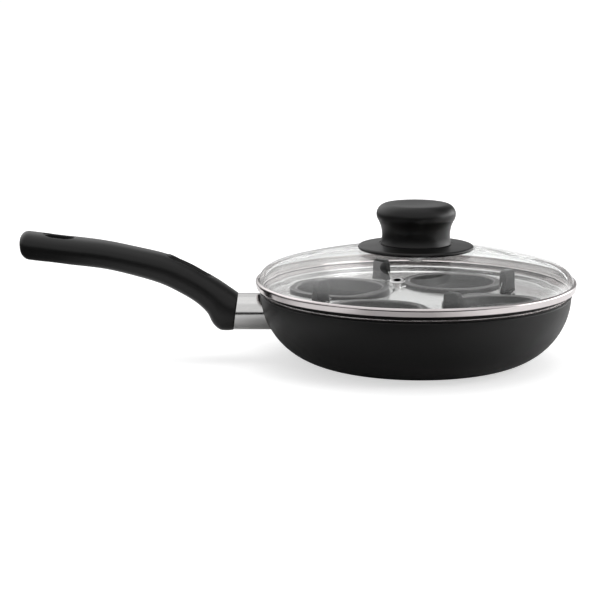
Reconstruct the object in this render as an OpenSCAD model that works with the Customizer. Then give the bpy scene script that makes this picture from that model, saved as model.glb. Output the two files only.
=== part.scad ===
// Egg poacher pan: a coated frying pan with a moulded handle, a steel tray that hangs in it,
// four lift-out egg cups and a domed glass lid with a knob.
// Origin at the centre of the flat base, on the surface the pan stands on. The handle points to -X.

/* [Pan] */
// Outer radius at the rim
pan_r = 101.8; // [90:0.2:125]
// Height from the base to the top of the rim
pan_h = 45.2; // [38:0.2:60]
// Thickness of the pressed metal
pan_t = 3.0; // [2:0.1:4]
// Radius of the curved wall seen from the side
wall_curve_r = 45.7; // [38:0.1:60]
// Radius of the plain disc at the middle of the underside
base_plain_r = 9; // [6:0.5:14]
// Spacing of the turned grooves on the underside
groove_pitch = 4.0; // [3:0.25:6]
// Width of a turned groove
groove_w = 1.2; // [0.6:0.1:2]
// Depth of a turned groove
groove_d = 0.3; // [0.1:0.05:0.6]

/* [Tray] */
// Thickness of the steel sheet
tray_t = 0.8; // [0.5:0.1:1.2]
// How far the top of the tray's plate lies below the top of its flange
tray_drop = 4.3; // [3:0.1:8]
// Depth of the round seats pressed into the plate
seat_d = 0.8; // [0.5:0.1:1.2]
// Flat metal between the tray's wall and a seat
seat_margin = 3.2; // [2:0.2:6]
// Flat metal between two seats
seat_bridge = 5.6; // [3:0.2:9]
// How far the flange stands out past the pan's rim
flange_lip = 0.4; // [0.1:0.1:1.2]

/* [Egg cups] */
// Turn of the first cup about the pan's axis, in degrees
cup_turn = -29.7; // [-45:0.1:45]
// Space round a cup's lip inside its seat
cup_seat_gap = 3.5; // [2:0.1:5]
// Width of the flat lip
cup_lip_w = 5.0; // [4:0.1:7]
// Thickness of the cup's metal
cup_t = 1.2; // [0.8:0.1:1.6]
// Height of the lip's turned-down edge
cup_skirt_h = 3.0; // [2.6:0.1:4]
// Depth inside a cup
cup_depth = 20.9; // [16:0.1:26]
// Radius of the flat floor inside a cup
bowl_floor_r = 12.2; // [9:0.1:14]

/* [Cup grips] */
// Direction of a cup's strap seen from the cup's centre, against the direction away from the pan's axis
strap_turn = 103.9; // [98:0.1:108]
// Distance from the cup's lip to the middle of the grip
grip_reach = 15.7; // [13:0.1:19]
// Turn of a grip's flat side against its strap, in degrees
grip_face_turn = 65.2; // [50:0.1:75]
// Width of a grip at its top
grip_w = 11.6; // [10:0.1:14]
// Width of a grip at its foot
grip_foot_w = 14.0; // [12:0.1:16]
// Thickness of a grip
grip_t = 5.0; // [4:0.1:7]
// Height of a grip
grip_h = 14.4; // [10:0.1:16]
// Width of the steel strap
strap_w = 8.0; // [6:0.1:9]
// Thickness of the steel strap
strap_t = 0.7; // [0.5:0.05:0.8]
// How far the foot of the strap's upright reaches out past its top, towards the cup
gusset = 6.0; // [2:0.1:7]

/* [Lid glass and rim] */
// How far the lid's rim stands out past the pan's rim
lid_overhang = 3.2; // [2:0.1:5]
// Height of the rim's outer band
band_h = 5.4; // [4.5:0.1:8]
// Height of the neck that carries the band above the tray
neck_h = 2.9; // [2:0.1:5]
// Thickness of the rim's steel
rim_t = 0.6; // [0.4:0.05:0.8]
// Thickness of the glass
glass_t = 4.0; // [3.2:0.1:4.8]
// Radius of the glass's outer shoulder
shoulder_r = 12.0; // [9:0.5:16]
// Height of the dome's top above the middle of the shoulder's curve
dome_h = 24.8; // [22:0.2:34]
// Distance of the steam vent's middle from the edge of the heat disc
vent_gap = 39.4; // [30:0.2:42]
// Direction of the steam vent, in degrees
vent_turn = 258.1; // [240:0.1:290]

/* [Knob] */
// Radius of the heat disc under the knob
disc_r = 37.8; // [32:0.1:46]
// Thickness of the heat disc
disc_t = 2.7; // [2.4:0.1:4]
// Largest radius of the knob
knob_r = 25.9; // [21:0.1:32]
// Radius of the knob's rounded top edge
knob_edge_r = 6.8; // [5:0.1:8]
// Height of the knob above the heat disc
knob_h = 26.4; // [24:0.1:32]
// How far the knob's waist lies inside its largest radius
knob_waist_in = 3.7; // [3:0.1:5]
// Height of the waist above the heat disc
knob_waist_h = 6.0; // [4:0.1:8]

/* [Handle] */
// How far the top of the flame guard lies below the pan's rim
guard_drop = 1.0; // [0.4:0.1:4]
// Length of the steel flame guard on its axis, from the rim's radius
guard_len = 16.2; // [13:0.1:22]
// Height of the flame guard
guard_h = 23.6; // [20:0.1:29]
// Width of the flame guard
guard_w = 26.8; // [23:0.1:32]
// Thickness of the flame guard
guard_t = 0.8; // [0.6:0.1:1.2]
// Exponent of the grip's rounded section
grip_power = 2.5; // [2:0.1:4]
// Length of the hanging hole
hang_len = 20; // [16:0.5:24]
// Width of the hanging hole
hang_w = 14; // [12:0.5:16]
// Radius of the handle screw
screw_r = 3.0; // [2.5:0.1:3.6]

/* [Hidden] */

$fn = 96;
// Gap left where one piece rests on another, and radial gaps round a screw's thread and its shank
seat_gap = 0.05;
thread_gap = 0.05;
shank_gap = 0.3;
// Longer than anything that is cut, and how far shapes reach into each other where they join or cut
reach = 400;
sink = 1;

// Pan: the curved wall reaches the rim's radius at the rim's height
wall_reach = sqrt(pow(wall_curve_r, 2) - pow(max(wall_curve_r - pan_h, 0), 2));
base_r = pan_r - wall_reach;

// Tray: the flange lies on the pan's rim and the wall drops inside it
tray_bottom = pan_h + seat_gap;
flange_top = tray_bottom + tray_t;
plate_top = flange_top - tray_drop;
seat_top = plate_top - seat_d;
// Height of the tray's lowest outer corner below the top of the pan's curve, and its gap to the wall
corner_dz = max(wall_curve_r - plate_top + tray_t, 0);
tray_wall_gap = 0.94;
tray_wall_r = base_r + sqrt(pow(wall_curve_r - pan_t, 2) - pow(corner_dz, 2)) - tray_wall_gap;
plate_r = tray_wall_r - tray_t;
seat_r = (sqrt(2) * (plate_r - seat_margin) - seat_bridge) / (2 + sqrt(2));
cup_ring_r = plate_r - seat_margin - seat_r;

// Egg cups: lip, bowl and strap, measured from the cup's own axis
cup_count = 4;
cup_lip_r = seat_r - cup_seat_gap;
cup_skirt_foot = seat_top + seat_gap;
cup_top = cup_skirt_foot + cup_skirt_h;
bowl_mouth_r = cup_lip_r - cup_lip_w;
bowl_rise = (pow(bowl_mouth_r, 2) - pow(bowl_floor_r, 2) - pow(cup_depth, 2)) / (2 * cup_depth);
bowl_r = sqrt(pow(bowl_mouth_r, 2) + pow(bowl_rise, 2));
bowl_z = cup_top + bowl_rise;
bowl_floor = cup_top - cup_depth;
cup_hole_gap = 0.9;
cup_hole_r = sqrt(pow(bowl_r + cup_t, 2) - pow(bowl_z - plate_top, 2)) + cup_hole_gap;
strap_top = cup_top - cup_t - seat_gap;
strap_tuck = 1.8;
strap_root = cup_lip_r - cup_t - strap_tuck;
strap_stand = cup_lip_r + grip_reach;
grip_gap = 0.4;
grip_foot = plate_top + grip_gap;
grip_corner_r = 3;
strap_cover = 4.5;
strap_h = grip_foot + grip_h - strap_cover - strap_top + strap_t;
slot_gap = 0.1;

// Lid: the neck stands on the tray's flange and the band clasps the edge of the glass
neck_foot = flange_top + seat_gap;
band_foot = neck_foot + neck_h;
band_top = band_foot + band_h;
rim_r = pan_r + lid_overhang;
neck_inset = 1.7;
neck_r = pan_r - neck_inset;
glass_gap = 0.4;
glass_edge_r = rim_r - rim_t - glass_gap;
glass_foot = band_foot + rim_t + glass_gap;
shoulder_z = glass_foot + 0.2;
shoulder_x = glass_edge_r - shoulder_r;
crown_r = (pow(shoulder_x, 2) + pow(dome_h, 2) - pow(shoulder_r, 2)) / (2 * (dome_h - shoulder_r));
crown_top = shoulder_z + dome_h;
crown_z = crown_top - crown_r;
// The rim's top edge curls in until it all but meets the glass
lip_end_x = shoulder_x + sqrt(pow(shoulder_r, 2) - pow(band_top - rim_t - shoulder_z, 2)) + seat_gap;
rim_lip_w = rim_r - lip_end_x;
glass_hole_r = 4;

// Steam vent, square to the glass: its flange lies on top and its petals are bent out underneath
vent_r = disc_r + vent_gap;
vent_hole_r = 2.9;
vent_bore_r = 2.3;
vent_flange_r = 4.8;
vent_flange_t = 0.7;
vent_tilt = asin(vent_r / crown_r);
petal_count = 6;
petal_len = 3.4;
petal_w = 2.2;
petal_t = 0.5;
petal_gap = 0.3;
petal_z = -glass_t - petal_gap - petal_t;

// Knob stack, upwards from the glass
gasket_t = 0.8;
gasket_r = 13;
disc_bottom_r = crown_r + gasket_t + 2 * seat_gap;
disc_top_r = disc_bottom_r + disc_t;
// The knob's outline is its round top edge and the hollow curve of its waist, which touch
edge_x = knob_r - knob_edge_r;
waist_dx = knob_edge_r - knob_waist_in;
waist_dz = knob_h - knob_edge_r - knob_waist_h;
waist_curve_r = (pow(waist_dx, 2) + pow(waist_dz, 2) - pow(knob_edge_r, 2)) / (2 * knob_waist_in);
waist_x = edge_x + waist_dx + waist_curve_r;
knob_foot_r = waist_x - sqrt(pow(waist_curve_r, 2) - pow(knob_waist_h, 2));
// The heat disc has a flat seat a little wider than the knob's foot
hub_margin = 1.1;
hub_step = 0.3;
disc_hub_r = knob_foot_r + hub_margin;
disc_hub_z = crown_z + sqrt(pow(disc_top_r, 2) - pow(disc_hub_r, 2)) - hub_step;
knob_foot = disc_hub_z + seat_gap;
knob_top = knob_foot + knob_h;
edge_z = knob_top - knob_edge_r;
waist_z = knob_foot + knob_waist_h;
flank_share = knob_edge_r / (knob_edge_r + waist_curve_r);
flank_x = edge_x + (waist_x - edge_x) * flank_share;
flank_z = edge_z + (waist_z - edge_z) * flank_share;
dish_d = 0.8;
dish_r = 140;
insert_r = 4.5;
insert_h = 14;

// Knob stack, downwards from the glass
knob_screw_r = 2.5;
knob_screw_end = knob_foot + insert_h - sink;
soft_washer_r = 9;
soft_washer_t = 1.4;
steel_washer_r = 8.5;
steel_washer_t = 1.0;
knob_head_r = 4.7;
knob_head_h = 2.8;
soft_flat = crown_z + sqrt(pow(crown_r - glass_t, 2) - pow(soft_washer_r, 2)) - seat_gap;
steel_top = soft_flat - soft_washer_t - seat_gap;
knob_head_top = steel_top - steel_washer_t - seat_gap;
slot_w = 1.2;
slot_d = 1.1;

// Handle: local zero is the middle of the grip's front face
handle_z = pan_h - guard_drop - guard_h / 2;
grip_x = -pan_r - guard_len;
// Half height and half width of the grip's front face, which covers the end of the flame guard
front_h = guard_h / 2 + 0.15;
front_w = guard_w / 2;
// Stations from the rear to the front: top x, top z, bottom x, bottom z, half width
GRIP_STATIONS = [[-135.3, 53.0, -134.3, 34.8, 14.0], [-112, 50.1, -110, 31.9, 14.6],
                 [-87, 47.0, -85, 28.8, 14.2], [-64, 42.4, -65, 24.0, 13.6],
                 [-45, 37.8, -49, 19.0, 13.2], [-30, 31.6, -37, 13.2, 13.0],
                 [-20, 26.0, -26, 6.4, 13.0],
                 [-13, front_h + 9.95, -19, 11.55 - front_h, front_w - 0.2],
                 [-8.5, front_h + 7.05, -15.2, 4.45 - front_h, front_w],
                 [-4.5, front_h + 4.25, -11, 0.35 - front_h, front_w + 0.1],
                 [-1.5, front_h + 2.15, -6.5, -front_h - 0.45, front_w + 0.1],
                 [1.5, front_h - 0.05, -1.7, -front_h - 0.05, front_w]];
grip_sides = 24;
grip_steps = 3;
grip_end_r = 5.2;
grip_end_steps = 4;
face_dx = GRIP_STATIONS[11][0] - GRIP_STATIONS[11][2];
face_dz = GRIP_STATIONS[11][1] - GRIP_STATIONS[11][3];
face_tilt = atan2(face_dx, face_dz);
face_x = (GRIP_STATIONS[11][0] + GRIP_STATIONS[11][2]) / 2;
face_z = (GRIP_STATIONS[11][1] + GRIP_STATIONS[11][3]) / 2;
hang_x = -116.2;
hang_z = 41.7;
hang_tilt = 7;
thumb_x = -29.5;
thumb_z = 31.2;
thumb_tilt = 28;
thumb_len = 33;
thumb_w = 12;
thumb_d = 2.4;
through = 60;
screw_seat_x = -12.5;
screw_head_r = 5.0;
screw_head_h = 3.0;
screw_shank = 22;
screw_washer_r = 5.4;
screw_washer_t = 1.0;
screw_head_x = screw_seat_x - 2 * seat_gap - screw_washer_t;
head_well_r = 5.9;
head_well_len = 16;
nose_w = 9;
nose_len = 5;
nose_gap = 0.1;
nose_x = face_x - nose_len;
bore_spare = 2.5;
bore_end_x = screw_head_x + screw_shank + bore_spare;
stem_r = 7.5;
stem_x = face_x + stem_r * tan(face_tilt) + 2 * seat_gap;
pad_r = 9.5;
pad_len = 4.5;

// A point of the smooth curve through four neighbours, at share t between the middle two
function blend4(p0, p1, p2, p3, t) =
    0.5 * (2 * p1 + (p2 - p0) * t + (2 * p0 - 5 * p1 + 4 * p2 - p3) * t * t
           + (3 * p1 - p0 - 3 * p2 + p3) * t * t * t);

// Station of the grip at a whole or part index, along the smooth curve through the stations
function station(s) =
    let (last = len(GRIP_STATIONS) - 1, i = min(floor(s), last - 1), t = s - i)
    blend4(GRIP_STATIONS[max(i - 1, 0)], GRIP_STATIONS[i], GRIP_STATIONS[i + 1],
           GRIP_STATIONS[min(i + 2, last)], t);

// Signed power, for the rounded section
function bulge(v) = sign(v) * pow(abs(v), 2 / grip_power);

// One ring of the grip: a rounded section between the station's top and bottom, drawn in by inset
function grip_ring(st, inset, back) =
    let (mid = [(st[0] + st[2]) / 2, 0, (st[1] + st[3]) / 2],
         half = [(st[0] - st[2]) / 2, 0, (st[1] - st[3]) / 2],
         share = 1 - inset / norm(half))
    [for (k = [0:grip_sides - 1])
        let (a = 360 * k / grip_sides)
        mid + [-back, 0, back * 0.12] + half * share * bulge(sin(a))
        + [0, (st[4] - inset) * bulge(cos(a)), 0]];

grip_spans = (len(GRIP_STATIONS) - 1) * grip_steps;
grip_rings = concat(
    [for (k = [grip_end_steps:-1:1])
        let (a = 90 * k / grip_end_steps)
        grip_ring(GRIP_STATIONS[0], grip_end_r * (1 - cos(a)), grip_end_r * sin(a))],
    [for (i = [0:grip_spans]) grip_ring(station(i / grip_steps), 0, 0)]);

// Filled half section of the pan, out to the arc of the given radius and up to the given height
module pan_section(arc_r, top) {
    intersection() {
        union() {
            translate([0, wall_curve_r - arc_r])
                square([base_r, reach]);
            translate([base_r, wall_curve_r])
                circle(r = arc_r, $fn = 180);
            translate([0, wall_curve_r])
                square([base_r + arc_r, reach]);
        }
        square([reach, top]);
    }
}

// Everything inside the pan's outer face, grown by a gap, for cutting pieces that meet the wall
module pan_solid(gap) {
    rotate_extrude($fn = 180)
        pan_section(wall_curve_r + gap, reach);
}

module pan_body() {
    color("#2b2a2c")
        rotate_extrude($fn = 180)
            difference() {
                pan_section(wall_curve_r, pan_h);
                difference() {
                    pan_section(wall_curve_r - pan_t, pan_h + sink);
                    square([reach, pan_t]);
                }
                for (r = [base_plain_r:groove_pitch:base_r - groove_pitch])
                    translate([r, 0])
                        square([groove_w, 2 * groove_d], center = true);
            }
}

// Turns a shape drawn upwards round z so that it lies along the handle's front axis, pointing to the pan
module along_handle(x) {
    translate([grip_x + x, 0, handle_z])
        rotate([0, 90, 0])
            children();
}

module handle_bracket() {
    color("#9a9a9c")
        difference() {
            union() {
                along_handle(stem_x)
                    cylinder(r = stem_r, h = guard_len + wall_curve_r);
                along_handle(guard_len - pad_len)
                    cylinder(r = pad_r, h = wall_curve_r);
                along_handle(nose_x)
                    translate([-nose_w / 2, -nose_w / 2, 0])
                        cube([nose_w, nose_w, 2 * nose_len]);
            }
            pan_solid(seat_gap);
            along_handle(nose_x - sink)
                cylinder(r = screw_r + thread_gap, h = bore_end_x - nose_x + sink);
        }
}

// Flat oval along x, for the flame guard, the hanging hole and the thumb recess
module long_oval(length, width) {
    for (side = [-1, 1])
        translate([side * (length - width) / 2, 0])
            circle(d = width);
    if (length > width)
        square([length - width, width], center = true);
}

// Oval of the flame guard, drawn in by inset, with its height along x
module guard_oval(inset) {
    rotate(guard_w > guard_h ? 90 : 0)
        long_oval(max(guard_h, guard_w) - 2 * inset, min(guard_h, guard_w) - 2 * inset);
}

module flame_guard() {
    color("#c9c9cb")
        difference() {
            along_handle(-guard_h / 2)
                linear_extrude(height = guard_len + wall_curve_r)
                    difference() {
                        guard_oval(0);
                        guard_oval(guard_t);
                    }
            pan_solid(2 * seat_gap);
            translate([grip_x + face_x + seat_gap, 0, handle_z + face_z])
                rotate([0, face_tilt, 0])
                    translate([-reach / 2, 0, 0])
                        cube([reach, reach, reach], center = true);
        }
}

// The grip's outer form: rings joined by triangles, with a flat face at each end
module grip_form() {
    n = grip_sides;
    last = len(grip_rings) - 1;
    polyhedron(
        points = [for (ring = grip_rings) each ring],
        faces = concat(
            [[for (k = [0:n - 1]) k]],
            [[for (k = [n - 1:-1:0]) last * n + k]],
            [for (i = [0:last - 1]) for (k = [0:n - 1])
                let (a = i * n + k, b = i * n + (k + 1) % n)
                each [[a, a + n, b], [b, a + n, b + n]]]));
}

module handle_grip() {
    color("#161617")
        difference() {
            translate([grip_x, 0, handle_z])
                grip_form();
            translate([grip_x + hang_x, 0, handle_z + hang_z])
                rotate([0, hang_tilt, 0])
                    linear_extrude(height = through, center = true)
                        long_oval(hang_len, hang_w);
            translate([grip_x + thumb_x, 0, handle_z + thumb_z])
                rotate([0, thumb_tilt, 0])
                    translate([0, 0, -thumb_d])
                        linear_extrude(height = through)
                            long_oval(thumb_len, thumb_w);
            along_handle(nose_x - nose_gap)
                translate([-nose_w / 2 - nose_gap, -nose_w / 2 - nose_gap, 0])
                    cube([nose_w + 2 * nose_gap, nose_w + 2 * nose_gap, 2 * nose_len]);
            along_handle(screw_seat_x - sink)
                cylinder(r = screw_r + shank_gap, h = through);
            along_handle(screw_seat_x - head_well_len)
                cylinder(r = head_well_r, h = head_well_len);
        }
}

module handle_washer() {
    color("#a5a5a7")
        along_handle(screw_seat_x - seat_gap - screw_washer_t)
            difference() {
                cylinder(r = screw_washer_r, h = screw_washer_t);
                translate([0, 0, -sink])
                    cylinder(r = screw_r + shank_gap, h = screw_washer_t + 2 * sink);
            }
}

module handle_screw() {
    color("#a5a5a7")
        difference() {
            union() {
                along_handle(screw_head_x - screw_head_h)
                    cylinder(r = screw_head_r, h = screw_head_h);
                along_handle(screw_head_x - sink)
                    cylinder(r = screw_r, h = screw_shank + sink);
            }
            along_handle(screw_head_x - screw_head_h - sink)
                translate([-slot_w / 2, -reach / 2, 0])
                    cube([slot_w, reach, sink + slot_d]);
        }
}

// Puts children on the axis of cup number i, with x pointing away from the pan's axis
module at_cup(i) {
    rotate([0, 0, cup_turn + 360 * (i - 1) / cup_count])
        translate([cup_ring_r, 0, 0])
            children();
}

module poacher_tray() {
    color("#d4d4d6")
        difference() {
            union() {
                rotate_extrude($fn = 180) {
                    translate([0, plate_top - tray_t])
                        square([tray_wall_r, tray_t]);
                    translate([plate_r, plate_top - tray_t])
                        square([tray_t, tray_drop + tray_t]);
                    translate([plate_r, tray_bottom])
                        square([pan_r + flange_lip - plate_r, tray_t]);
                }
                for (i = [1:cup_count])
                    at_cup(i)
                        translate([0, 0, seat_top - tray_t])
                            cylinder(r = seat_r, h = tray_t + seat_d / 2);
            }
            for (i = [1:cup_count])
                at_cup(i) {
                    translate([0, 0, seat_top])
                        cylinder(r = seat_r - tray_t, h = 2 * seat_d);
                    translate([0, 0, seat_top - 2 * tray_t])
                        cylinder(r = cup_hole_r, h = 4 * tray_t);
                }
        }
}

// Half section of a filled bowl of the given radius above the given floor
module bowl_section(r, floor_z) {
    intersection() {
        translate([0, bowl_z])
            circle(r = r, $fn = 180);
        translate([0, floor_z])
            square([reach, cup_top - floor_z]);
    }
}

module egg_cup(i) {
    color("#4b4b4e")
        at_cup(i)
            difference() {
                rotate_extrude() {
                    difference() {
                        union() {
                            bowl_section(bowl_r + cup_t, bowl_floor - cup_t);
                            translate([0, cup_top - cup_t])
                                square([cup_lip_r, cup_t]);
                        }
                        translate([0, bowl_z])
                            intersection() {
                                circle(r = bowl_r, $fn = 180);
                                translate([0, bowl_floor - bowl_z])
                                    square([reach, reach]);
                            }
                        translate([0, cup_top])
                            square([reach, reach]);
                    }
                    translate([cup_lip_r - cup_t, cup_skirt_foot])
                        square([cup_t, cup_skirt_h - cup_t / 2]);
                }
                rotate([0, 0, strap_turn])
                    translate([cup_lip_r - 2 * cup_t, -strap_w / 2 - slot_gap, cup_skirt_foot - sink])
                        cube([3 * cup_t, strap_w + 2 * slot_gap,
                              strap_top + seat_gap - cup_skirt_foot + sink]);
            }
}

// The strap's flat part, from under the cup's lip to beyond the grip, grown by a gap
module strap_flat(gap) {
    translate([strap_root - gap, -strap_w / 2 - gap, strap_top - strap_t - gap])
        cube([strap_stand - strap_root + strap_w / 2 + 2 * gap, strap_w + 2 * gap, strap_t + 2 * gap]);
}

// The strap's upright, drawn at the origin across x, with its slanted edge towards +y, grown by a gap
module strap_upright(gap) {
    half = strap_w / 2 + gap;
    translate([strap_t / 2 + gap, 0, strap_top - strap_t])
        rotate([90, 0, -90])
            linear_extrude(height = strap_t + 2 * gap)
                polygon([[half, 0], [half, strap_h + gap], [-half, strap_h + gap], [-half - gusset, 0]]);
}

module cup_strap(i) {
    color("#c2c2c4")
        at_cup(i)
            rotate([0, 0, strap_turn]) {
                strap_flat(0);
                translate([strap_stand, 0, 0])
                    rotate([0, 0, grip_face_turn])
                        strap_upright(0);
            }
}

// Outline of a grip: wider at its foot, with rounded top corners
module grip_outline() {
    top = grip_h - grip_corner_r;
    side = grip_w / 2 - grip_corner_r;
    polygon([[-grip_foot_w / 2, 0], [grip_foot_w / 2, 0], [grip_w / 2, top], [side, top + grip_corner_r],
             [-side, top + grip_corner_r], [-grip_w / 2, top]]);
    for (s = [-1, 1])
        translate([s * side, top])
            circle(r = grip_corner_r);
}

module cup_grip(i) {
    color("#1c1c1d")
        at_cup(i)
            rotate([0, 0, strap_turn])
                difference() {
                    translate([strap_stand, 0, 0])
                        rotate([0, 0, grip_face_turn])
                            difference() {
                                translate([grip_t / 2, 0, grip_foot])
                                    rotate([90, 0, -90])
                                        linear_extrude(height = grip_t)
                                            grip_outline();
                                strap_upright(slot_gap);
                            }
                    strap_flat(slot_gap);
                }
}

// Filled half section of the dome, drawn in by inset from the glass's outer face
module dome_section(inset) {
    away = [shoulder_x, shoulder_z - crown_z];
    tangent = [shoulder_x, shoulder_z] + away / norm(away) * 2 * shoulder_r;
    difference() {
        intersection() {
            translate([0, crown_z])
                circle(r = crown_r - inset, $fn = 1440);
            translate([0, glass_foot - sink])
                square([glass_edge_r - inset, reach]);
        }
        difference() {
            polygon([[shoulder_x, shoulder_z], tangent, [tangent[0] + 2 * shoulder_r, tangent[1]],
                     [tangent[0] + 2 * shoulder_r, shoulder_z]]);
            translate([shoulder_x, shoulder_z])
                circle(r = shoulder_r - inset);
        }
    }
}

// Puts children on the outer face of the glass at the vent, square to it
module at_vent() {
    translate([0, 0, crown_z])
        rotate([0, 0, vent_turn])
            rotate([0, vent_tilt, 0])
                translate([0, 0, crown_r])
                    children();
}

module lid_glass() {
    color([0.80, 0.86, 0.86, 0.35])
        difference() {
            rotate_extrude($fn = 180)
                difference() {
                    dome_section(0);
                    dome_section(glass_t);
                    square([reach, glass_foot]);
                    square([glass_hole_r, reach]);
                }
            at_vent()
                cylinder(r = vent_hole_r, h = 4 * glass_t, center = true);
        }
}

module lid_rim() {
    color("#c4c0c0")
        rotate_extrude($fn = 180) {
            translate([neck_r - rim_t, neck_foot])
                square([rim_t, neck_h + rim_t]);
            translate([neck_r - rim_t, band_foot])
                square([rim_r - neck_r + rim_t, rim_t]);
            translate([rim_r - rim_t, band_foot])
                square([rim_t, band_h - rim_lip_w]);
            translate([rim_r - rim_lip_w, band_top - rim_lip_w])
                intersection() {
                    difference() {
                        circle(r = rim_lip_w);
                        circle(r = rim_lip_w - rim_t);
                    }
                    translate([0, -seat_gap])
                        square([rim_lip_w, rim_lip_w + seat_gap]);
                }
        }
}

module steam_vent() {
    color("#cfcfd1")
        at_vent()
            difference() {
                union() {
                    translate([0, 0, seat_gap])
                        cylinder(r = vent_flange_r, h = vent_flange_t);
                    translate([0, 0, petal_z])
                        cylinder(r = vent_hole_r - thread_gap, h = vent_flange_t / 2 - petal_z);
                    for (k = [0:petal_count - 1])
                        rotate([0, 0, 360 * k / petal_count])
                            translate([vent_bore_r, -petal_w / 2, petal_z])
                                cube([petal_len, petal_w, petal_t]);
                }
                cylinder(r = vent_bore_r, h = 4 * glass_t, center = true);
            }
}

// Part of a ball about the crown's centre, out to the given radius from the axis
module crown_slab(ball_r, out_r) {
    intersection() {
        translate([0, crown_z])
            circle(r = ball_r, $fn = 1440);
        translate([0, shoulder_z])
            square([out_r, reach]);
    }
}

module knob_gasket() {
    color("#1f1f20")
        rotate_extrude()
            difference() {
                crown_slab(crown_r + seat_gap + gasket_t, gasket_r);
                crown_slab(crown_r + seat_gap, reach);
                square([knob_screw_r + shank_gap, reach]);
            }
}

module glass_gasket() {
    color("#1f1f20")
        translate([0, 0, soft_flat - soft_washer_t])
            difference() {
                cylinder(r = soft_washer_r, h = soft_washer_t);
                translate([0, 0, -sink])
                    cylinder(r = knob_screw_r + shank_gap, h = soft_washer_t + 2 * sink);
            }
}

module knob_disc() {
    color("#1a1a1b")
        rotate_extrude($fn = 180)
            difference() {
                union() {
                    crown_slab(disc_top_r, disc_r - disc_t / 2);
                    disc_edge();
                }
                crown_slab(disc_bottom_r, reach);
                square([knob_screw_r + shank_gap, reach]);
                translate([0, disc_hub_z])
                    square([disc_hub_r, reach]);
            }
}

// Half-round edge of the heat disc
module disc_edge() {
    x = disc_r - disc_t / 2;
    z = crown_z + sqrt(pow(disc_bottom_r + disc_t / 2, 2) - pow(x, 2));
    translate([x, z])
        circle(r = disc_t / 2);
}

module knob_grip() {
    color("#161617")
        rotate_extrude($fn = 180)
            difference() {
                union() {
                    translate([0, edge_z - sink])
                        square([edge_x, knob_edge_r + sink]);
                    translate([edge_x, edge_z])
                        circle(r = knob_edge_r);
                    polygon([[0, knob_foot], [flank_x, knob_foot], [flank_x, flank_z], [edge_x, edge_z],
                             [0, edge_z]]);
                }
                translate([waist_x, waist_z])
                    circle(r = waist_curve_r, $fn = 180);
                translate([0, knob_top - dish_d + dish_r])
                    circle(r = dish_r, $fn = 1440);
                square([insert_r + thread_gap, knob_foot + insert_h + 2 * seat_gap]);
            }
}

module knob_insert() {
    color("#b59a57")
        translate([0, 0, knob_foot + seat_gap])
            difference() {
                cylinder(r = insert_r, h = insert_h);
                translate([0, 0, -sink])
                    cylinder(r = knob_screw_r + thread_gap, h = insert_h + 2 * sink);
            }
}

module knob_washer() {
    color("#c2c2c4")
        translate([0, 0, steel_top - steel_washer_t])
            difference() {
                cylinder(r = steel_washer_r, h = steel_washer_t);
                translate([0, 0, -sink])
                    cylinder(r = knob_screw_r + shank_gap, h = steel_washer_t + 2 * sink);
            }
}

module knob_screw() {
    color("#cfcfd1")
        difference() {
            union() {
                translate([0, 0, knob_head_top - knob_head_h])
                    cylinder(r = knob_head_r, h = knob_head_h);
                translate([0, 0, knob_head_top - sink])
                    cylinder(r = knob_screw_r, h = knob_screw_end - knob_head_top + sink);
            }
            translate([-reach / 2, -slot_w / 2, knob_head_top - knob_head_h - sink])
                cube([reach, slot_w, sink + slot_d]);
        }
}

pan_body();
handle_bracket();
flame_guard();
handle_grip();
handle_washer();
handle_screw();
poacher_tray();
egg_cup(1);  // egg_cup_1
egg_cup(2);  // egg_cup_2
egg_cup(3);  // egg_cup_3
egg_cup(4);  // egg_cup_4
cup_strap(1);  // cup_strap_1
cup_strap(2);  // cup_strap_2
cup_strap(3);  // cup_strap_3
cup_strap(4);  // cup_strap_4
cup_grip(1);  // cup_grip_1
cup_grip(2);  // cup_grip_2
cup_grip(3);  // cup_grip_3
cup_grip(4);  // cup_grip_4
lid_glass();
lid_rim();
steam_vent();
knob_gasket();
glass_gasket();
knob_disc();
knob_grip();
knob_insert();
knob_washer();
knob_screw();
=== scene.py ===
"""Looks of an egg poacher pan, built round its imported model.

The pan, its moulded handle, the steel tray, the four egg cups and the domed glass lid are surfaces
worked out with numpy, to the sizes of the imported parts. Sizes of pieces are in millimetres until a
mesh is made, and those of finishes and of the studio are in metres. The handle points to -X and the
base stands on z = 0.
"""

import logging
import math
from dataclasses import dataclass, field
from enum import Enum
from functools import partial
from typing import Callable, ClassVar, Mapping, Sequence

import bmesh
import bpy
import numpy as np
from mathutils import Euler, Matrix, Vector
from mathutils.geometry import delaunay_2d_cdt


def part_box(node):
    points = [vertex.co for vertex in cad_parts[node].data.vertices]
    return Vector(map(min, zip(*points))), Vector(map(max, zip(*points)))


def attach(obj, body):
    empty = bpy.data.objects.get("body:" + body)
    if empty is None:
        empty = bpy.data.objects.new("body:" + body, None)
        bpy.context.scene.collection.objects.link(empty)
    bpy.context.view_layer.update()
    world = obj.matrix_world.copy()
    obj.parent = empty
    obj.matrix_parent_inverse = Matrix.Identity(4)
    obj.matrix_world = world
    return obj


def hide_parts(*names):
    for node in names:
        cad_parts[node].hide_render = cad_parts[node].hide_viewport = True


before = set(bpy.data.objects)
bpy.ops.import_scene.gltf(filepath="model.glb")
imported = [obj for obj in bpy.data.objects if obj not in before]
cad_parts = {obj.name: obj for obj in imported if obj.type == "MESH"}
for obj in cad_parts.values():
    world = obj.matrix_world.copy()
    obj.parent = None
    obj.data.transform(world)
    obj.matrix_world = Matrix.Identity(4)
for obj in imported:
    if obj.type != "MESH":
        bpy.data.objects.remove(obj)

MM = 0.001
MERGE_DISTANCE = 2e-7
TINY = 1e-9
LOG = logging.getLogger("egg_poacher")

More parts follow.
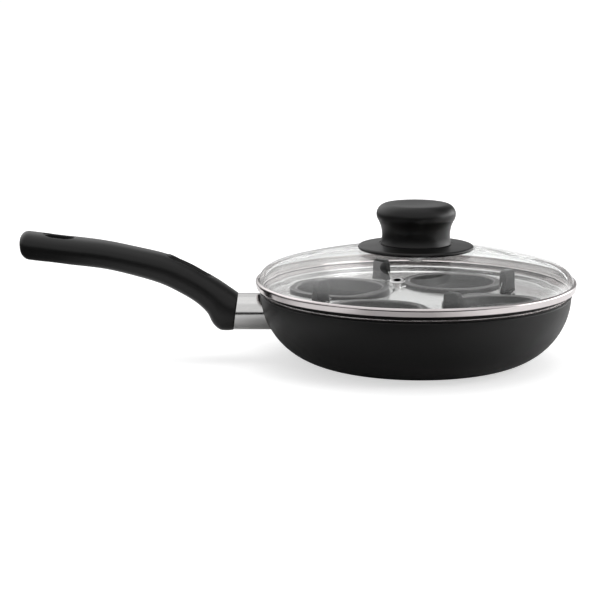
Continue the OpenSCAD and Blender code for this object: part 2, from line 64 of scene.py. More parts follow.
Array = np.ndarray
Pair = tuple[float, float]
Corner = tuple[float, float, float]
Colour = tuple[float, float, float]
Change = Callable[[Array], Array]
Object = bpy.types.Object
Material = bpy.types.Material
Node = bpy.types.Node
Socket = bpy.types.NodeSocket

AXIS_X, AXIS_Y, AXIS_Z = np.eye(3)

# Steps in a full turn
WIDE_TURN = 240
SMALL_TURN = 180

# Where the handle's own frame stands
GRIP_X = -118.0
GRIP_Z = 32.4


class Body(str, Enum):
    """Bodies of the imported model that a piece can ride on."""

    PAN = "pan"
    TRAY = "tray"
    CUP = "cup"
    LID = "lid"


class Slot(str, Enum):
    """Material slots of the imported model's record."""

    PAN_COATING = "pan_coating"
    BRACKET_METAL = "bracket_metal"
    POLISHED_STEEL = "polished_steel"
    TRAY_STEEL = "tray_steel"
    RIM_STEEL = "rim_steel"
    PHENOLIC = "phenolic"
    CUP_COATING = "cup_coating"
    GRIP_PLASTIC = "grip_plastic"
    CLEAR_GLASS = "clear_glass"
    SILICONE = "silicone"
    BRASS = "brass"
    ZINC_STEEL = "zinc_steel"


class Trim(Enum):
    """Finishes that only a part of a piece wears, beside its slot's own."""

    UNDERSIDE = "underside"
    INNER_GLASS = "inner_glass"
    PAINTED_SHADE = "seam"


# Profiles and grids


def arc(centre: Sequence[float], radius: float, start: float, end: float, steps: int) -> Array:
    """Points on a circle: centre plus radius times the cosine and sine of evenly spaced angles.

    Args:
        centre: Middle of the circle.
        radius: Radius of the circle.
        start: First angle, in degrees.
        end: Last angle, in degrees.
        steps: Number of spans between the two.

    Returns:
        An array of steps + 1 points.
    """
    a = np.radians(np.linspace(start, end, steps + 1))
    return np.column_stack([centre[0] + radius * np.cos(a), centre[1] + radius * np.sin(a)])


def line(start: Sequence[float], end: Sequence[float], steps: int) -> Array:
    """Evenly spaced points on a straight line, with both ends.

    Args:
        start: First point.
        end: Last point.
        steps: Number of spans.

    Returns:
        An array of steps + 1 points.
    """
    share = np.linspace(0.0, 1.0, steps + 1)[:, None]
    return np.asarray(start) * (1 - share) + np.asarray(end) * share


def quadratic(start: Sequence[float], corner: Sequence[float], end: Sequence[float], steps: int) -> Array:
    """Points of the curve that leaves its start towards the corner and reaches its end from there.

    Args:
        start: First point.
        corner: Where the tangents of both ends meet.
        end: Last point.
        steps: Number of spans.

    Returns:
        An array of steps + 1 points.
    """
    a, b, c = np.asarray(start), np.asarray(corner), np.asarray(end)
    t = np.linspace(0, 1, steps + 1)[:, None]
    return (1 - t) ** 2 * a + 2 * t * (1 - t) * b + t**2 * c


def running_length(points: Array) -> Array:
    """Way from the first point of a line to each of its points."""
    return np.concatenate([[0.0], np.cumsum(np.hypot(*np.diff(points, axis=0).T))])


def full_turn(steps: int) -> Array:
    """Evenly spaced angles round a full turn, in degrees."""
    return np.arange(steps) * 360.0 / steps


def counter_clockwise(outline: Array) -> Array:
    """Closed outline, turned round if its area is negative, so that it runs counter-clockwise."""
    x, y = outline[:, 0], outline[:, 1]
    area = 0.5 * float(np.sum(x * np.roll(y, -1) - y * np.roll(x, -1)))
    return outline[::-1] if area < 0 else outline


def rounded(corners: Sequence[Corner], steps: int = 5, closed: bool = True) -> Array:
    """Line through corners, each turned into an arc that touches both of its sides.

    The arc's middle lies on the corner's bisector at radius / sin(half angle). A further point on each
    side, close to the arc, keeps the bend of the shading inside a narrow strip.

    Args:
        corners: Corner positions with the radius of each.
        steps: Number of spans in each arc.
        closed: Whether the last corner joins the first.

    Returns:
        The line's points in order.
    """
    past_arc, longest = 0.35, 0.48
    pts = np.array([c[:2] for c in corners], dtype=float)
    last = len(corners) - 1
    out: list[Array] = []
    for i, (x, y, radius) in enumerate(corners):
        here = np.array([x, y])
        if radius <= 0 or (not closed and i in (0, last)):
            out.append(here[None, :])
            continue
        back = pts[i - 1] - here
        ahead = pts[(i + 1) % len(pts)] - here
        len_back, len_ahead = np.linalg.norm(back), np.linalg.norm(ahead)
        back, ahead = back / len_back, ahead / len_ahead
        half = 0.5 * math.acos(float(np.clip(back @ ahead, -1.0, 1.0)))
        tangent = radius / math.tan(half)
        bisector = (back + ahead) / np.linalg.norm(back + ahead)
        centre = here + bisector * radius / math.sin(half)
        first = here + back * tangent - centre
        final = here + ahead * tangent - centre
        a0 = math.atan2(first[1], first[0])
        turn = math.atan2(first[0] * final[1] - first[1] * final[0], float(first @ final))
        a = a0 + turn * np.linspace(0, 1, steps + 1)
        curve = np.column_stack([centre[0] + radius * np.cos(a), centre[1] + radius * np.sin(a)])
        guard = tangent + past_arc * radius
        if guard < longest * len_back:
            out.append((here + back * guard)[None, :])
        out.append(curve)
        if guard < longest * len_ahead:
            out.append((here + ahead * guard)[None, :])
    return np.concatenate(out)


def shifted(curve: Array, distance: float, closed: bool = False) -> Array:
    """Curve moved sideways: each point goes along the mean normal of its two spans.

    The step is distance over the cosine of half the turn, so straight parts keep their distance.

    Args:
        curve: Points of the curve.
        distance: Distance to the left of the curve's direction.
        closed: Whether the last point joins the first.

    Returns:
        The moved points.
    """
    least_cosine = 0.5
    span = np.diff(np.vstack([curve, curve[:1]]) if closed else curve, axis=0)
    normal = np.column_stack([-span[:, 1], span[:, 0]])
    normal /= np.maximum(np.linalg.norm(normal, axis=1, keepdims=True), TINY)
    if closed:
        before, after = np.roll(normal, 1, axis=0), normal
    else:
        before, after = np.vstack([normal[:1], normal]), np.vstack([normal, normal[-1:]])
    mean = before + after
    mean /= np.linalg.norm(mean, axis=1, keepdims=True)
    cosine = np.maximum(np.sum(mean * after, axis=1, keepdims=True), least_cosine)
    return curve + mean * distance / cosine


def sheet_loop(curve: Array, thickness: float, steps: int = 4) -> Array:
    """Closed outline of bent sheet metal: a curve, its shifted copy and a half round at each end.

    Args:
        curve: The sheet's outer face in section.
        thickness: Thickness of the sheet, to the left of the curve.
        steps: Number of spans in each half round.

    Returns:
        The closed outline's points.
    """
    radius = thickness / 2
    first, clear = 1.4 * radius, 1.7 * radius
    way = running_length(curve)
    inside = way[(way > clear) & (way < way[-1] - clear)]
    stops = np.concatenate([[radius, first], inside, [way[-1] - first, way[-1] - radius]])
    face = np.column_stack([np.interp(stops, way, curve[:, 0]), np.interp(stops, way, curve[:, 1])])
    back = shifted(face, thickness)
    tail = half_round(face[-1], back[-1], face[-1] - face[-2], steps)
    head = half_round(back[0], face[0], face[0] - face[1], steps)
    return np.concatenate([face, tail, back[::-1], head])


def half_round(start: Array, end: Array, out: Array, steps: int) -> Array:
    """Inner points of a half round between two points, bulging towards out."""
    t = np.radians(np.linspace(0, 180, steps + 1))[1:-1, None]
    half = (start - end) / 2
    bulge = out / np.linalg.norm(out) * np.linalg.norm(half) * np.sin(t)
    return (start + end) / 2 + half * np.cos(t) + bulge


def revolve(profile: Array, segments: int, centre: Pair = (0.0, 0.0), turn: float = 0.0) -> Array:
    """Grid of a profile turned round an upright axis: (r cos a, r sin a, z).

    Args:
        profile: Points as radius and height.
        segments: Number of steps in the full turn.
        centre: Where the axis stands.
        turn: First angle, in degrees.

    Returns:
        An array of rows x segments x 3.
    """
    a = np.radians(turn + full_turn(segments))
    r, z = profile[:, 0][:, None], profile[:, 1][:, None]
    return np.stack([centre[0] + r * np.cos(a), centre[1] + r * np.sin(a), z + 0 * a], axis=-1)


def turned(points: Array, degrees: float) -> Array:
    """Points turned round the z axis by an angle in degrees."""
    c, s = math.cos(math.radians(degrees)), math.sin(math.radians(degrees))
    x, y = points[..., 0], points[..., 1]
    return np.stack([x * c - y * s, x * s + y * c, points[..., 2]], axis=-1)


@dataclass
class MeshDraft:
    """Points and faces gathered in millimetres before they become one mesh."""

    points: list[Array] = field(default_factory=list)
    loops: list[Array] = field(default_factory=list)
    sizes: list[Array] = field(default_factory=list)
    count: int = 0

    def _take(self, points: Array, faces: Array) -> None:
        """Adds points, and faces that all have the same number of corners."""
        self.points.append(points.reshape(-1, 3))
        self.loops.append(faces.ravel() + self.count)
        self.sizes.append(np.full(len(faces), faces.shape[1], dtype=np.int64))
        self.count += points.size // 3

    def grid(
        self, points: Array, wrap_rows: bool = False, wrap_cols: bool = False, keep: Array | None = None
    ) -> None:
        """Adds the quads between neighbouring rows and columns.

        Args:
            points: Array of rows x columns x 3.
            wrap_rows: Whether the last row joins the first.
            wrap_cols: Whether the last column joins the first.
            keep: Which cells are wanted, for a grid with windows.
        """
        rows, cols = points.shape[:2]
        high, wide = rows if wrap_rows else rows - 1, cols if wrap_cols else cols - 1
        i, j = np.meshgrid(np.arange(high), np.arange(wide), indexing="ij")
        i2, j2 = (i + 1) % rows, (j + 1) % cols
        quads = np.stack([i * cols + j, i * cols + j2, i2 * cols + j2, i2 * cols + j], axis=-1)
        quads = quads.reshape(-1, 4) if keep is None else quads[keep]
        self._take(points, quads)

    def cap(self, ring: Array) -> None:
        """Adds one flat face on a closed ring of points."""
        self._take(ring, np.arange(len(ring))[None, :])

    def fill(self, loops: Sequence[Array], across: Array, beside: Array) -> None:
        """Fills a flat region, inside the first loop and outside the others, with triangles.

        A triangle is kept if a ray from its middle crosses the loops an odd number of times.

        Args:
            loops: Closed rings of points in one plane.
            across: First unit direction in the plane.
            beside: Second unit direction in the plane.
        """
        pts = np.concatenate(loops)
        flat = np.column_stack([pts @ across, pts @ beside])
        spans_of_loops = []
        start = 0
        for loop in loops:
            here = np.arange(len(loop))
            spans_of_loops.append(start + np.column_stack([here, np.roll(here, -1)]))
            start += len(loop)
        edges = np.concatenate(spans_of_loops)
        corners = list(map(Vector, flat.tolist()))
        found, _, faces, *_ = delaunay_2d_cdt(corners, edges.tolist(), [], 2, 1e-6)
        xy = np.array([tuple(v) for v in found])
        base = pts[0] - (pts[0] @ across) * across - (pts[0] @ beside) * beside
        triangles = np.array(faces)
        middle = xy[triangles].mean(axis=1)
        a, b = flat[edges[:, 0]], flat[edges[:, 1]]
        spans = (a[:, 1] > middle[:, 1:]) != (b[:, 1] > middle[:, 1:])
        slope = (b[:, 0] - a[:, 0]) / np.where(b[:, 1] == a[:, 1], 1.0, b[:, 1] - a[:, 1])
        right = middle[:, :1] < a[:, 0] + (middle[:, 1:] - a[:, 1]) * slope
        inside = np.sum(spans & right, axis=1) % 2 == 1
        self._take(base + xy[:, :1] * across + xy[:, 1:] * beside, triangles[inside])

    def build(self, name: str, facing: Change | None = None) -> Object:
        """Makes the mesh in metres, merges doubles and turns its faces the right way.

        Args:
            name: Name of the object.
            facing: For an open sheet, gives the direction that faces at given middles should look in.

        Returns:
            The object, linked to the scene, smooth shaded.
        """
        mesh = bpy.data.meshes.new(name)
        points = np.concatenate(self.points) * MM
        loops, sizes = np.concatenate(self.loops), np.concatenate(self.sizes)
        mesh.vertices.add(len(points))
        mesh.vertices.foreach_set("co", points.ravel())
        mesh.loops.add(len(loops))
        mesh.loops.foreach_set("vertex_index", loops)
        mesh.polygons.add(len(sizes))
        mesh.polygons.foreach_set("loop_start", np.concatenate([[0], np.cumsum(sizes)[:-1]]))
        mesh.update(calc_edges=True)
        bm = bmesh.new()
        bm.from_mesh(mesh)
        bmesh.ops.remove_doubles(bm, verts=bm.verts, dist=MERGE_DISTANCE)
        bmesh.ops.delete(bm, geom=[e for e in bm.edges if not e.link_faces], context="EDGES")
        bmesh.ops.recalc_face_normals(bm, faces=bm.faces)
        bm.to_mesh(mesh)
        bm.free()
        if facing is not None:
            self._face(mesh, facing)
        mesh.shade_smooth()
        return link(name, mesh)

    @staticmethod
    def _face(mesh: bpy.types.Mesh, facing: Change) -> None:
        """Flips an open sheet if its faces, weighed by area, look away from the wanted direction."""
        area = np.empty(len(mesh.polygons))
        mesh.polygons.foreach_get("area", area)
        want = facing(vectors(mesh.polygons, "center") / MM)
        if float(np.sum(vectors(mesh.polygons, "normal") * want * area[:, None])) < 0:
            mesh.flip_normals()


def vectors(items: bpy.types.bpy_prop_collection, name: str) -> Array:
    """Three-part property of every vertex or face of a mesh."""
    values = np.empty(len(items) * 3)
    items.foreach_get(name, values)
    return values.reshape(-1, 3)


def link(name: str, data: bpy.types.ID) -> Object:
    """New object of the scene with the given mesh, lamp or camera."""
    obj = bpy.data.objects.new(name, data)
    bpy.context.scene.collection.objects.link(obj)
    return obj


def upwards(middles: Array) -> Array:
    """Direction straight up for every face."""
    return np.broadcast_to(AXIS_Z, middles.shape)


def solid_revolve(name: str, outline: Array, segments: int) -> Object:
    """Object turned from a closed outline.

    Args:
        name: Name of the object.
        outline: Closed outline as radius and height.
        segments: Number of steps in the full turn.

    Returns:
        The object.
    """
    draft = MeshDraft()
    draft.grid(revolve(outline, segments), wrap_rows=True, wrap_cols=True)
    return draft.build(name)


def add_prism(
    draft: MeshDraft, outline: Array, low: float, high: float, edge: float, place: Change
) -> None:
    """Adds a plate with rounded edges.

    The outline is drawn in by edge * (1 - sin t) at edge * (1 - cos t) from each face, and once more on the
    face itself, to keep the bend of the shading near the edge.

    Args:
        draft: Where the plate goes.
        outline: Closed outline, counter-clockwise.
        low: Height of its lower face.
        high: Height of its upper face.
        edge: Radius of the rounded edges.
        place: Puts points of the plate's own frame where they belong.
    """
    face_inset = 1.6 * edge
    t = np.radians(np.linspace(0, 90, 5))
    inset = np.concatenate([[face_inset], edge * (1 - np.sin(t)), edge * (1 - np.sin(t[::-1])), [face_inset]])
    rise = edge * (1 - np.cos(t))
    height = np.concatenate([[low], low + rise, high - rise[::-1], [high]])
    rings = []
    for d, h in zip(inset, height):
        ring = shifted(outline, d, closed=True)
        rings.append(place(np.column_stack([ring, np.full(len(ring), h)])))
    draft.grid(np.stack(rings), wrap_cols=True)
    draft.cap(rings[0])
    draft.cap(rings[-1])


def face_middles(obj: Object) -> Array:
    """Middles of an object's faces, in millimetres."""
    return vectors(obj.data.polygons, "center") / MM


def second_finish(obj: Object, material: Material, chosen: Array) -> None:
    """Adds a further material to an object and gives it to the chosen faces."""
    obj.data.materials.append(material)
    obj.data.polygons.foreach_set("material_index", chosen.astype(np.int32) * (len(obj.data.materials) - 1))
    obj.data.update()


# Surfaces with straight cuts through them


@dataclass(frozen=True)
class Cutter:
    """A straight cut with an oval outline: its middle, the direction it opens in and its two widths."""

    centre: Array
    axis: Array
    across: Array
    beside: Array
    length: float
    width: float

    def flat(self, points: Array) -> Array:
        """Coordinates of points across and beside the cut's axis."""
        away = points - self.centre
        return np.stack([away @ self.across, away @ self.beside], axis=-1)

    def reach(self, angle: Array, grow: float = 0.0) -> Array:
        """Distance from the axis to the oval's edge in each direction.

        A ray meets a straight side at r / |sin a|, or an end at c |cos a| + sqrt(r^2 - c^2 sin^2 a), where
        r is the end's radius and c half the straight length.

        Args:
            angle: Directions from the axis.
            grow: How far the oval is grown.

        Returns:
            One distance for each direction.
        """
        r, c = self.width / 2 + grow, (self.length - self.width) / 2
        cos, sin = np.abs(np.cos(angle)), np.abs(np.sin(angle))
        side = r / np.maximum(sin, TINY)
        end = c * cos + np.sqrt(np.maximum(r * r - (c * sin) ** 2, 0.0))
        return np.where(side * cos <= c, side, end)

    def ring(self, angle: Array, grow: float, height: float) -> Array:
        """Points on the grown oval at a height along the axis."""
        d = self.reach(angle, grow)[:, None]
        flat = d * np.cos(angle)[:, None] * self.across + d * np.sin(angle)[:, None] * self.beside
        return self.centre + flat + height * self.axis


@dataclass
class Skin:
    """A surface on a grid of two parameters, from which windows are left out for cuts.

    Each cut fills its window again: rings run from the window's border to the cut's outline, and then
    round the edge into the cut.
    """

    ROUNDS: ClassVar[int] = 14
    NUDGE: ClassVar[float] = 1e-4
    WIDEST_SHARE: ClassVar[float] = 0.98

    surface: Callable[[Array, Array], Array]
    u: Array
    v: Array
    windows: list[tuple[int, int, int, int]] = field(default_factory=list)

    def draw(self, draft: MeshDraft) -> Array:
        """Adds the grid without its windows, closed round v, and returns its points."""
        u, v = np.meshgrid(self.u, self.v, indexing="ij")
        pts = self.surface(u, v)
        keep = np.ones((len(self.u) - 1, len(self.v)), dtype=bool)
        for i0, i1, j0, j1 in self.windows:
            keep[i0:i1, j0:j1] = False
        draft.grid(pts, wrap_cols=True, keep=keep)
        return pts

    def solve(self, cutter: Cutter, target: Array, guess: Array) -> Array:
        """Parameters at which the surface, seen along the cut's axis, meets the target.

        Newton's method with the slopes from small differences, for all points at once.

        Args:
            cutter: The cut.
            target: Wanted coordinates across the axis.
            guess: First parameters.

        Returns:
            The parameters.
        """
        uv = guess.copy()
        for _ in range(self.ROUNDS):
            u, v = uv[:, 0], uv[:, 1]
            here = cutter.flat(self.surface(u, v))
            by_u = (cutter.flat(self.surface(u + self.NUDGE, v)) - here) / self.NUDGE
            by_v = (cutter.flat(self.surface(u, v + self.NUDGE)) - here) / self.NUDGE
            det = by_u[:, 0] * by_v[:, 1] - by_u[:, 1] * by_v[:, 0]
            miss = target - here
            du = (miss[:, 0] * by_v[:, 1] - miss[:, 1] * by_v[:, 0]) / det
            dv = (miss[:, 1] * by_u[:, 0] - miss[:, 0] * by_u[:, 1]) / det
            uv += np.stack([du, dv], axis=-1)
        return uv

    def cut(
        self, draft: MeshDraft, cutter: Cutter, middle: Pair, half: tuple[int, int], edge: float
    ) -> tuple[Array, Array]:
        """Opens a window round a cut and fills it up to the cut's rounded edge.

        The edge's rings grow the outline by edge * (1 - sin t) and sink by edge * (1 - cos t).

        Args:
            draft: Where the faces go.
            cutter: The cut.
            middle: Parameters near the middle of the cut.
            half: Half the window's number of rows and columns.
            edge: Radius of the rounded edge.

        Returns:
            The last ring, on the cut's wall, and the direction of each of its points.
        """
        i, j = int(np.argmin(np.abs(self.u - middle[0]))), int(np.argmin(np.abs(self.v - middle[1])))
        i0, i1, j0, j1 = i - half[0], i + half[0], j - half[1], j + half[1]
        self.windows.append((i0, i1, j0, j1))
        up, along = np.arange(i0, i1), np.arange(j0, j1)
        rows = np.concatenate([np.full(len(along), i0), up, np.full(len(along), i1), up[::-1] + 1])
        cols = np.concatenate([along, np.full(len(up), j1), along[::-1] + 1, np.full(len(up), j0)])
        border = np.column_stack([self.u[rows], self.v[cols]])
        seen = cutter.flat(self.surface(border[:, 0], border[:, 1]))
        angle = np.arctan2(seen[:, 1], seen[:, 0])
        heading = np.stack([np.cos(angle), np.sin(angle)], axis=-1)
        centre = self.solve(cutter, np.zeros((1, 2)), np.array([middle], dtype=float))
        reach = cutter.reach(angle, edge)
        share = (reach / np.linalg.norm(seen, axis=1))[:, None]
        outline = self.solve(cutter, heading * reach[:, None], centre + share * (border - centre))
        if float(share.max()) > self.WIDEST_SHARE:
            LOG.warning("a cut's window is too small: %.2f", float(share.max()))
        rings = []
        for s in np.linspace(0, 1, 5):
            uv = border * (1 - s) + outline * s
            rings.append(self.surface(uv[:, 0], uv[:, 1]))
        for t in np.radians(np.linspace(15, 90, 6)):
            reach = cutter.reach(angle, edge * (1 - math.sin(t)))
            outline = self.solve(cutter, heading * reach[:, None], outline)
            rings.append(self.surface(outline[:, 0], outline[:, 1]) - cutter.axis * edge * (1 - math.cos(t)))
        draft.grid(np.stack(rings), wrap_cols=True)
        return rings[-1], angle


def matched(ring: Array, other: Array) -> Array:
    """The other ring, turned or reversed so that its points lie nearest to this ring's."""
    candidates = []
    for candidate in (other, other[::-1]):
        away = np.linalg.norm(candidate - ring[0], axis=1)
        candidates.append(np.roll(candidate, -int(np.argmin(away)), axis=0))
    return min(candidates, key=lambda points: float(np.linalg.norm(points - ring, axis=1).sum()))


# Finishes


@dataclass
class Graph:
    """A material's node tree, with a short call for each kind of node."""

    name: str

    def __post_init__(self) -> None:
        """Makes the material with an empty node tree."""
        self.material = bpy.data.materials.new(self.name)
        self.material.use_nodes = True
        self.tree = self.material.node_tree
        self.tree.nodes.clear()
        self.output = self.tree.nodes.new("ShaderNodeOutputMaterial")
        self.object = self.add("ShaderNodeTexCoord").outputs["Object"]

    def add(
        self, kind: str, inputs: Mapping[str | int, object] | None = None, **settings: object
    ) -> Node:
        """Adds a node.

        Args:
            kind: Blender's name of the node.
            inputs: Values or sockets for its inputs, by name or number.
            **settings: Its properties.

        Returns:
            The node.
        """
        node = self.tree.nodes.new(kind)
        for key, value in settings.items():
            setattr(node, key, value)
        for key, value in (inputs or {}).items():
            if isinstance(value, Socket):
                self.tree.links.new(value, node.inputs[key])
            else:
                node.inputs[key].default_value = value
        return node

    def stretch(self, scale: Sequence[float], turn: Sequence[float] = (0, 0, 0)) -> Socket:
        """Object coordinates, turned and scaled."""
        inputs = {"Vector": self.object, "Scale": tuple(scale), "Rotation": tuple(turn)}
        return self.add("ShaderNodeMapping", inputs).outputs[0]

    def parts(self, vector: Socket) -> Sequence[Socket]:
        """The three parts of a vector."""
        return self.add("ShaderNodeSeparateXYZ", {0: vector}).outputs

    def noise(
        self, scale: float, detail: float = 3.0, rough: float = 0.5, vector: Socket | None = None
    ) -> Socket:
        """Noise from 0 to 1 with features of about 1 / scale metres."""
        inputs = {"Vector": vector or self.object, "Scale": scale, "Detail": detail, "Roughness": rough}
        return self.add("ShaderNodeTexNoise", inputs).outputs["Fac"]

    def span(
        self, value: object, low: object, high: object, over: Pair = (0.0, 1.0), kind: str = "LINEAR"
    ) -> Socket:
        """Value taken from a range to low..high, and kept inside it."""
        start, end = over
        inputs = {"Value": value, "From Min": start, "From Max": end, "To Min": low, "To Max": high}
        return self.add("ShaderNodeMapRange", inputs, interpolation_type=kind).outputs["Result"]

    def step(self, value: object, over: Pair) -> Socket:
        """Smooth change from 0 to 1 over a range."""
        return self.span(value, 0.0, 1.0, over, "SMOOTHSTEP")

    def math(self, operation: str, a: object, b: object = 0.0) -> Socket:
        """Sum, product or other function of two values."""
        return self.add("ShaderNodeMath", {0: a, 1: b}, operation=operation).outputs[0]

    def product(self, *values: object) -> Socket:
        """Product of two or more values."""
        total = values[0]
        for value in values[1:]:
            total = self.math("MULTIPLY", total, value)
        return total

    def weighed(self, first: object, first_share: float, second: object, second_share: float) -> Socket:
        """Sum of two values, each taken by its share."""
        return self.math("ADD", self.product(first, first_share), self.product(second, second_share))

    def ramp(self, factor: object, stops: Sequence[tuple[float, Colour]]) -> Socket:
        """Colour between stops, each a position and a linear colour."""
        node = self.add("ShaderNodeValToRGB", {"Fac": factor})
        elements = node.color_ramp.elements
        for _ in stops[len(elements) :]:
            elements.new(0.5)
        for element, (position, colour) in zip(elements, stops):
            element.position = position
            element.color = (*colour, 1.0)
        return node.outputs["Color"]

    def bump(
        self, height: object, distance: float, strength: float = 1.0, normal: Socket | None = None
    ) -> Socket:
        """Normal bent by a height of up to distance metres."""
        inputs: dict[str | int, object] = {"Height": height, "Distance": distance, "Strength": strength}
        if normal is not None:
            inputs["Normal"] = normal
        return self.add("ShaderNodeBump", inputs).outputs["Normal"]

    def around(self, lengthwise: float = 0.003) -> Socket:
        """Radius, height and shortened way round the z axis, for marks left by turning."""
        x, y, z = self.parts(self.object)
        radius = self.math("SQRT", self.math("ADD", self.product(x, x), self.product(y, y)))
        way = self.product(self.math("ARCTAN2", y, x), lengthwise)
        return self.add("ShaderNodeCombineXYZ", {0: radius, 1: way, 2: z}).outputs[0]

    def attribute(self, name: str) -> Socket:
        """Value that the piece's mesh carries at each point."""
        return self.add("ShaderNodeAttribute", attribute_name=name).outputs["Fac"]

    def principled(self, **inputs: object) -> Node:
        """Adds a Principled shader, with spaces for underscores in its inputs' names."""
        named = {key.replace("_", " "): value for key, value in inputs.items()}
        return self.add("ShaderNodeBsdfPrincipled", named)

    def mixed(self, share: object, first: Node, second: Node) -> Node:
        """Adds a mix of two shaders: the first at share 0, the second at share 1."""
        return self.add("ShaderNodeMixShader", {0: share, 1: first.outputs[0], 2: second.outputs[0]})

    def end(self, shader: Node) -> Material:
        """Joins a shader to the output, and returns the material."""
        self.tree.links.new(shader.outputs[0], self.output.inputs["Surface"])
        return self.material

    def finish(self, **inputs: object) -> Material:
        """Ends the material with a Principled shader."""
        return self.end(self.principled(**inputs))

    def glow(self, strength: object) -> Material:
        """Ends the material with white light of a strength."""
        inputs = {"Color": (1.0, 1.0, 1.0, 1.0), "Strength": strength}
        return self.end(self.add("ShaderNodeEmission", inputs))


def shade(colour: Colour, factor: float) -> Colour:
    """A linear colour made lighter or darker."""
    red, green, blue = colour
    return red * factor, green * factor, blue * factor


# Most noise lies inside this range
NOISE_RANGE = (0.3, 0.7)


@dataclass(frozen=True)
class Coating:
    """Baked non-stick coating: dark and satin, with flecks, faint clouds, and rubbed edges with a painted
    highlight.
    """

    name: str
    colour: Colour
    fleck: float = 2.2
    rough: float = 0.42
    level: float = 0.3
    wear_and_highlight: float = 0.0
    grain: float = 0.35
    fleck_scale: float = 2600.0
    cloud_scale: float = 24.0
    rub_and_highlight_scale: float = 420.0
    grain_scale: float = 1500.0
    grain_depth: float = 0.00004
    wave_scale: float = 90.0
    wave_depth: float = 0.0002
    wave: float = 0.12

    def make(self) -> Material:
        """Builds the material: flecks and clouds in colour, roughness and height; wear and painted highlight
        lighten it.
        """
        g = Graph(self.name)
        flecks = g.noise(self.fleck_scale, 2.0, 0.7)
        clouds = g.noise(self.cloud_scale, 4.0, 0.6)
        mix = g.weighed(flecks, 0.7, clouds, 0.3)
        # Rubbed wear and a painted highlight: colour made lighter along the lip's edges.
        rubbed_and_highlight = g.product(g.attribute("wear_and_highlight"), g.noise(self.rub_and_highlight_scale, 4.0, 0.7), self.wear_and_highlight)
        mix = g.math("ADD", mix, rubbed_and_highlight)
        colour = g.ramp(
            mix,
            [
                (0.30, shade(self.colour, 0.75)),
                (0.56, self.colour),
                (0.70, shade(self.colour, self.fleck)),
                (1.0, shade(self.colour, self.fleck * 4)),
            ],
        )
        cloudy = g.weighed(clouds, 0.6, flecks, 0.4)
        rough = g.span(cloudy, self.rough - 0.07, self.rough + 0.09, NOISE_RANGE)
        grain = g.bump(g.noise(self.grain_scale, 3.0, 0.6), self.grain_depth, self.grain)
        skin = g.bump(g.noise(self.wave_scale, 2.0), self.wave_depth, self.wave, grain)
        return g.finish(Base_Color=colour, Roughness=rough, Specular_IOR_Level=self.level, Normal=skin)


@dataclass(frozen=True)
class Moulded:
    """Moulded plastic: black with a fine grain, faint flow marks and polished high spots."""

    name: str
    colour: Colour
    rough: float = 0.34
    level: float = 0.3
    grain_scale: float = 1800.0
    grain_depth: float = 0.00003
    flow_scale: float = 38.0
    flow_stretch: float = 0.35
    flow_depth: float = 0.00025
    smear_scale: float = 9.0

    def make(self) -> Material:
        """Builds the material: grain in height, flow marks in colour and roughness."""
        g = Graph(self.name)
        flow = g.noise(self.flow_scale, 5.0, 0.55, g.stretch((self.flow_stretch, 1.0, 1.0)))
        fine = g.noise(self.grain_scale, 3.0, 0.6)
        mix = g.weighed(flow, 0.6, fine, 0.4)
        colour = g.ramp(mix, [(0.3, shade(self.colour, 0.8)), (0.7, shade(self.colour, 1.3))])
        smears = g.noise(self.smear_scale, 6.0, 0.7)
        smeared = g.weighed(flow, 0.5, smears, 0.5)
        rough = g.span(smeared, self.rough - 0.05, self.rough + 0.08, NOISE_RANGE)
        normal = g.bump(fine, self.grain_depth, 0.3, g.bump(flow, self.flow_depth, 0.1))
        return g.finish(Base_Color=colour, Roughness=rough, Specular_IOR_Level=self.level, Normal=normal)


class Lay(Enum):
    """Which way the fine lines of a metal run."""

    LENGTHWISE = "lengthwise"
    ROUND = "round"
    NONE = "none"


@dataclass(frozen=True)
class Metal:
    """Bare metal: fine lines from rolling, turning or polishing, soft smears and small scratches."""

    name: str
    colour: Colour
    rough: float
    lay: Lay = Lay.LENGTHWISE
    line_depth: float = 0.00001
    mottle: float = 0.06
    turn: float = 0.0
    line_scale: float = 2400.0
    line_stretch: float = 60.0
    cast_scale: float = 900.0
    smear_scale: float = 32.0
    scratch_stretch: Corner = (900.0, 40.0, 300.0)
    scratch_turn: Corner = (0.2, 0.4, 0.9)
    scratch_depth: float = 0.00001

    def make(self) -> Material:
        """Builds the material: lines stretched along the lay, smears in roughness and colour."""
        g = Graph(self.name)
        if self.lay is Lay.ROUND:
            lines = g.noise(self.line_scale, 3.0, 0.7, g.around())
        elif self.lay is Lay.LENGTHWISE:
            scale = (self.line_stretch, self.line_scale, self.line_scale)
            lines = g.noise(1.0, 4.0, 0.7, g.stretch(scale, (0, 0, math.radians(self.turn))))
        else:
            lines = g.noise(self.cast_scale, 4.0, 0.6)
        smears = g.noise(self.smear_scale, 5.0, 0.6)
        scratches = g.noise(1.0, 2.0, 0.5, g.stretch(self.scratch_stretch, self.scratch_turn))
        mix = g.weighed(lines, 0.5, smears, 0.5)
        dark, light = shade(self.colour, 1 - 2 * self.mottle), shade(self.colour, 1 + self.mottle)
        colour = g.ramp(mix, [(0.3, dark), (0.7, light)])
        rough = g.span(mix, self.rough * 0.75, self.rough * 1.3, NOISE_RANGE)
        normal = g.bump(lines, self.line_depth, 0.5, g.bump(scratches, self.scratch_depth, 0.25))
        return g.finish(Base_Color=colour, Metallic=1.0, Roughness=rough, Normal=normal)


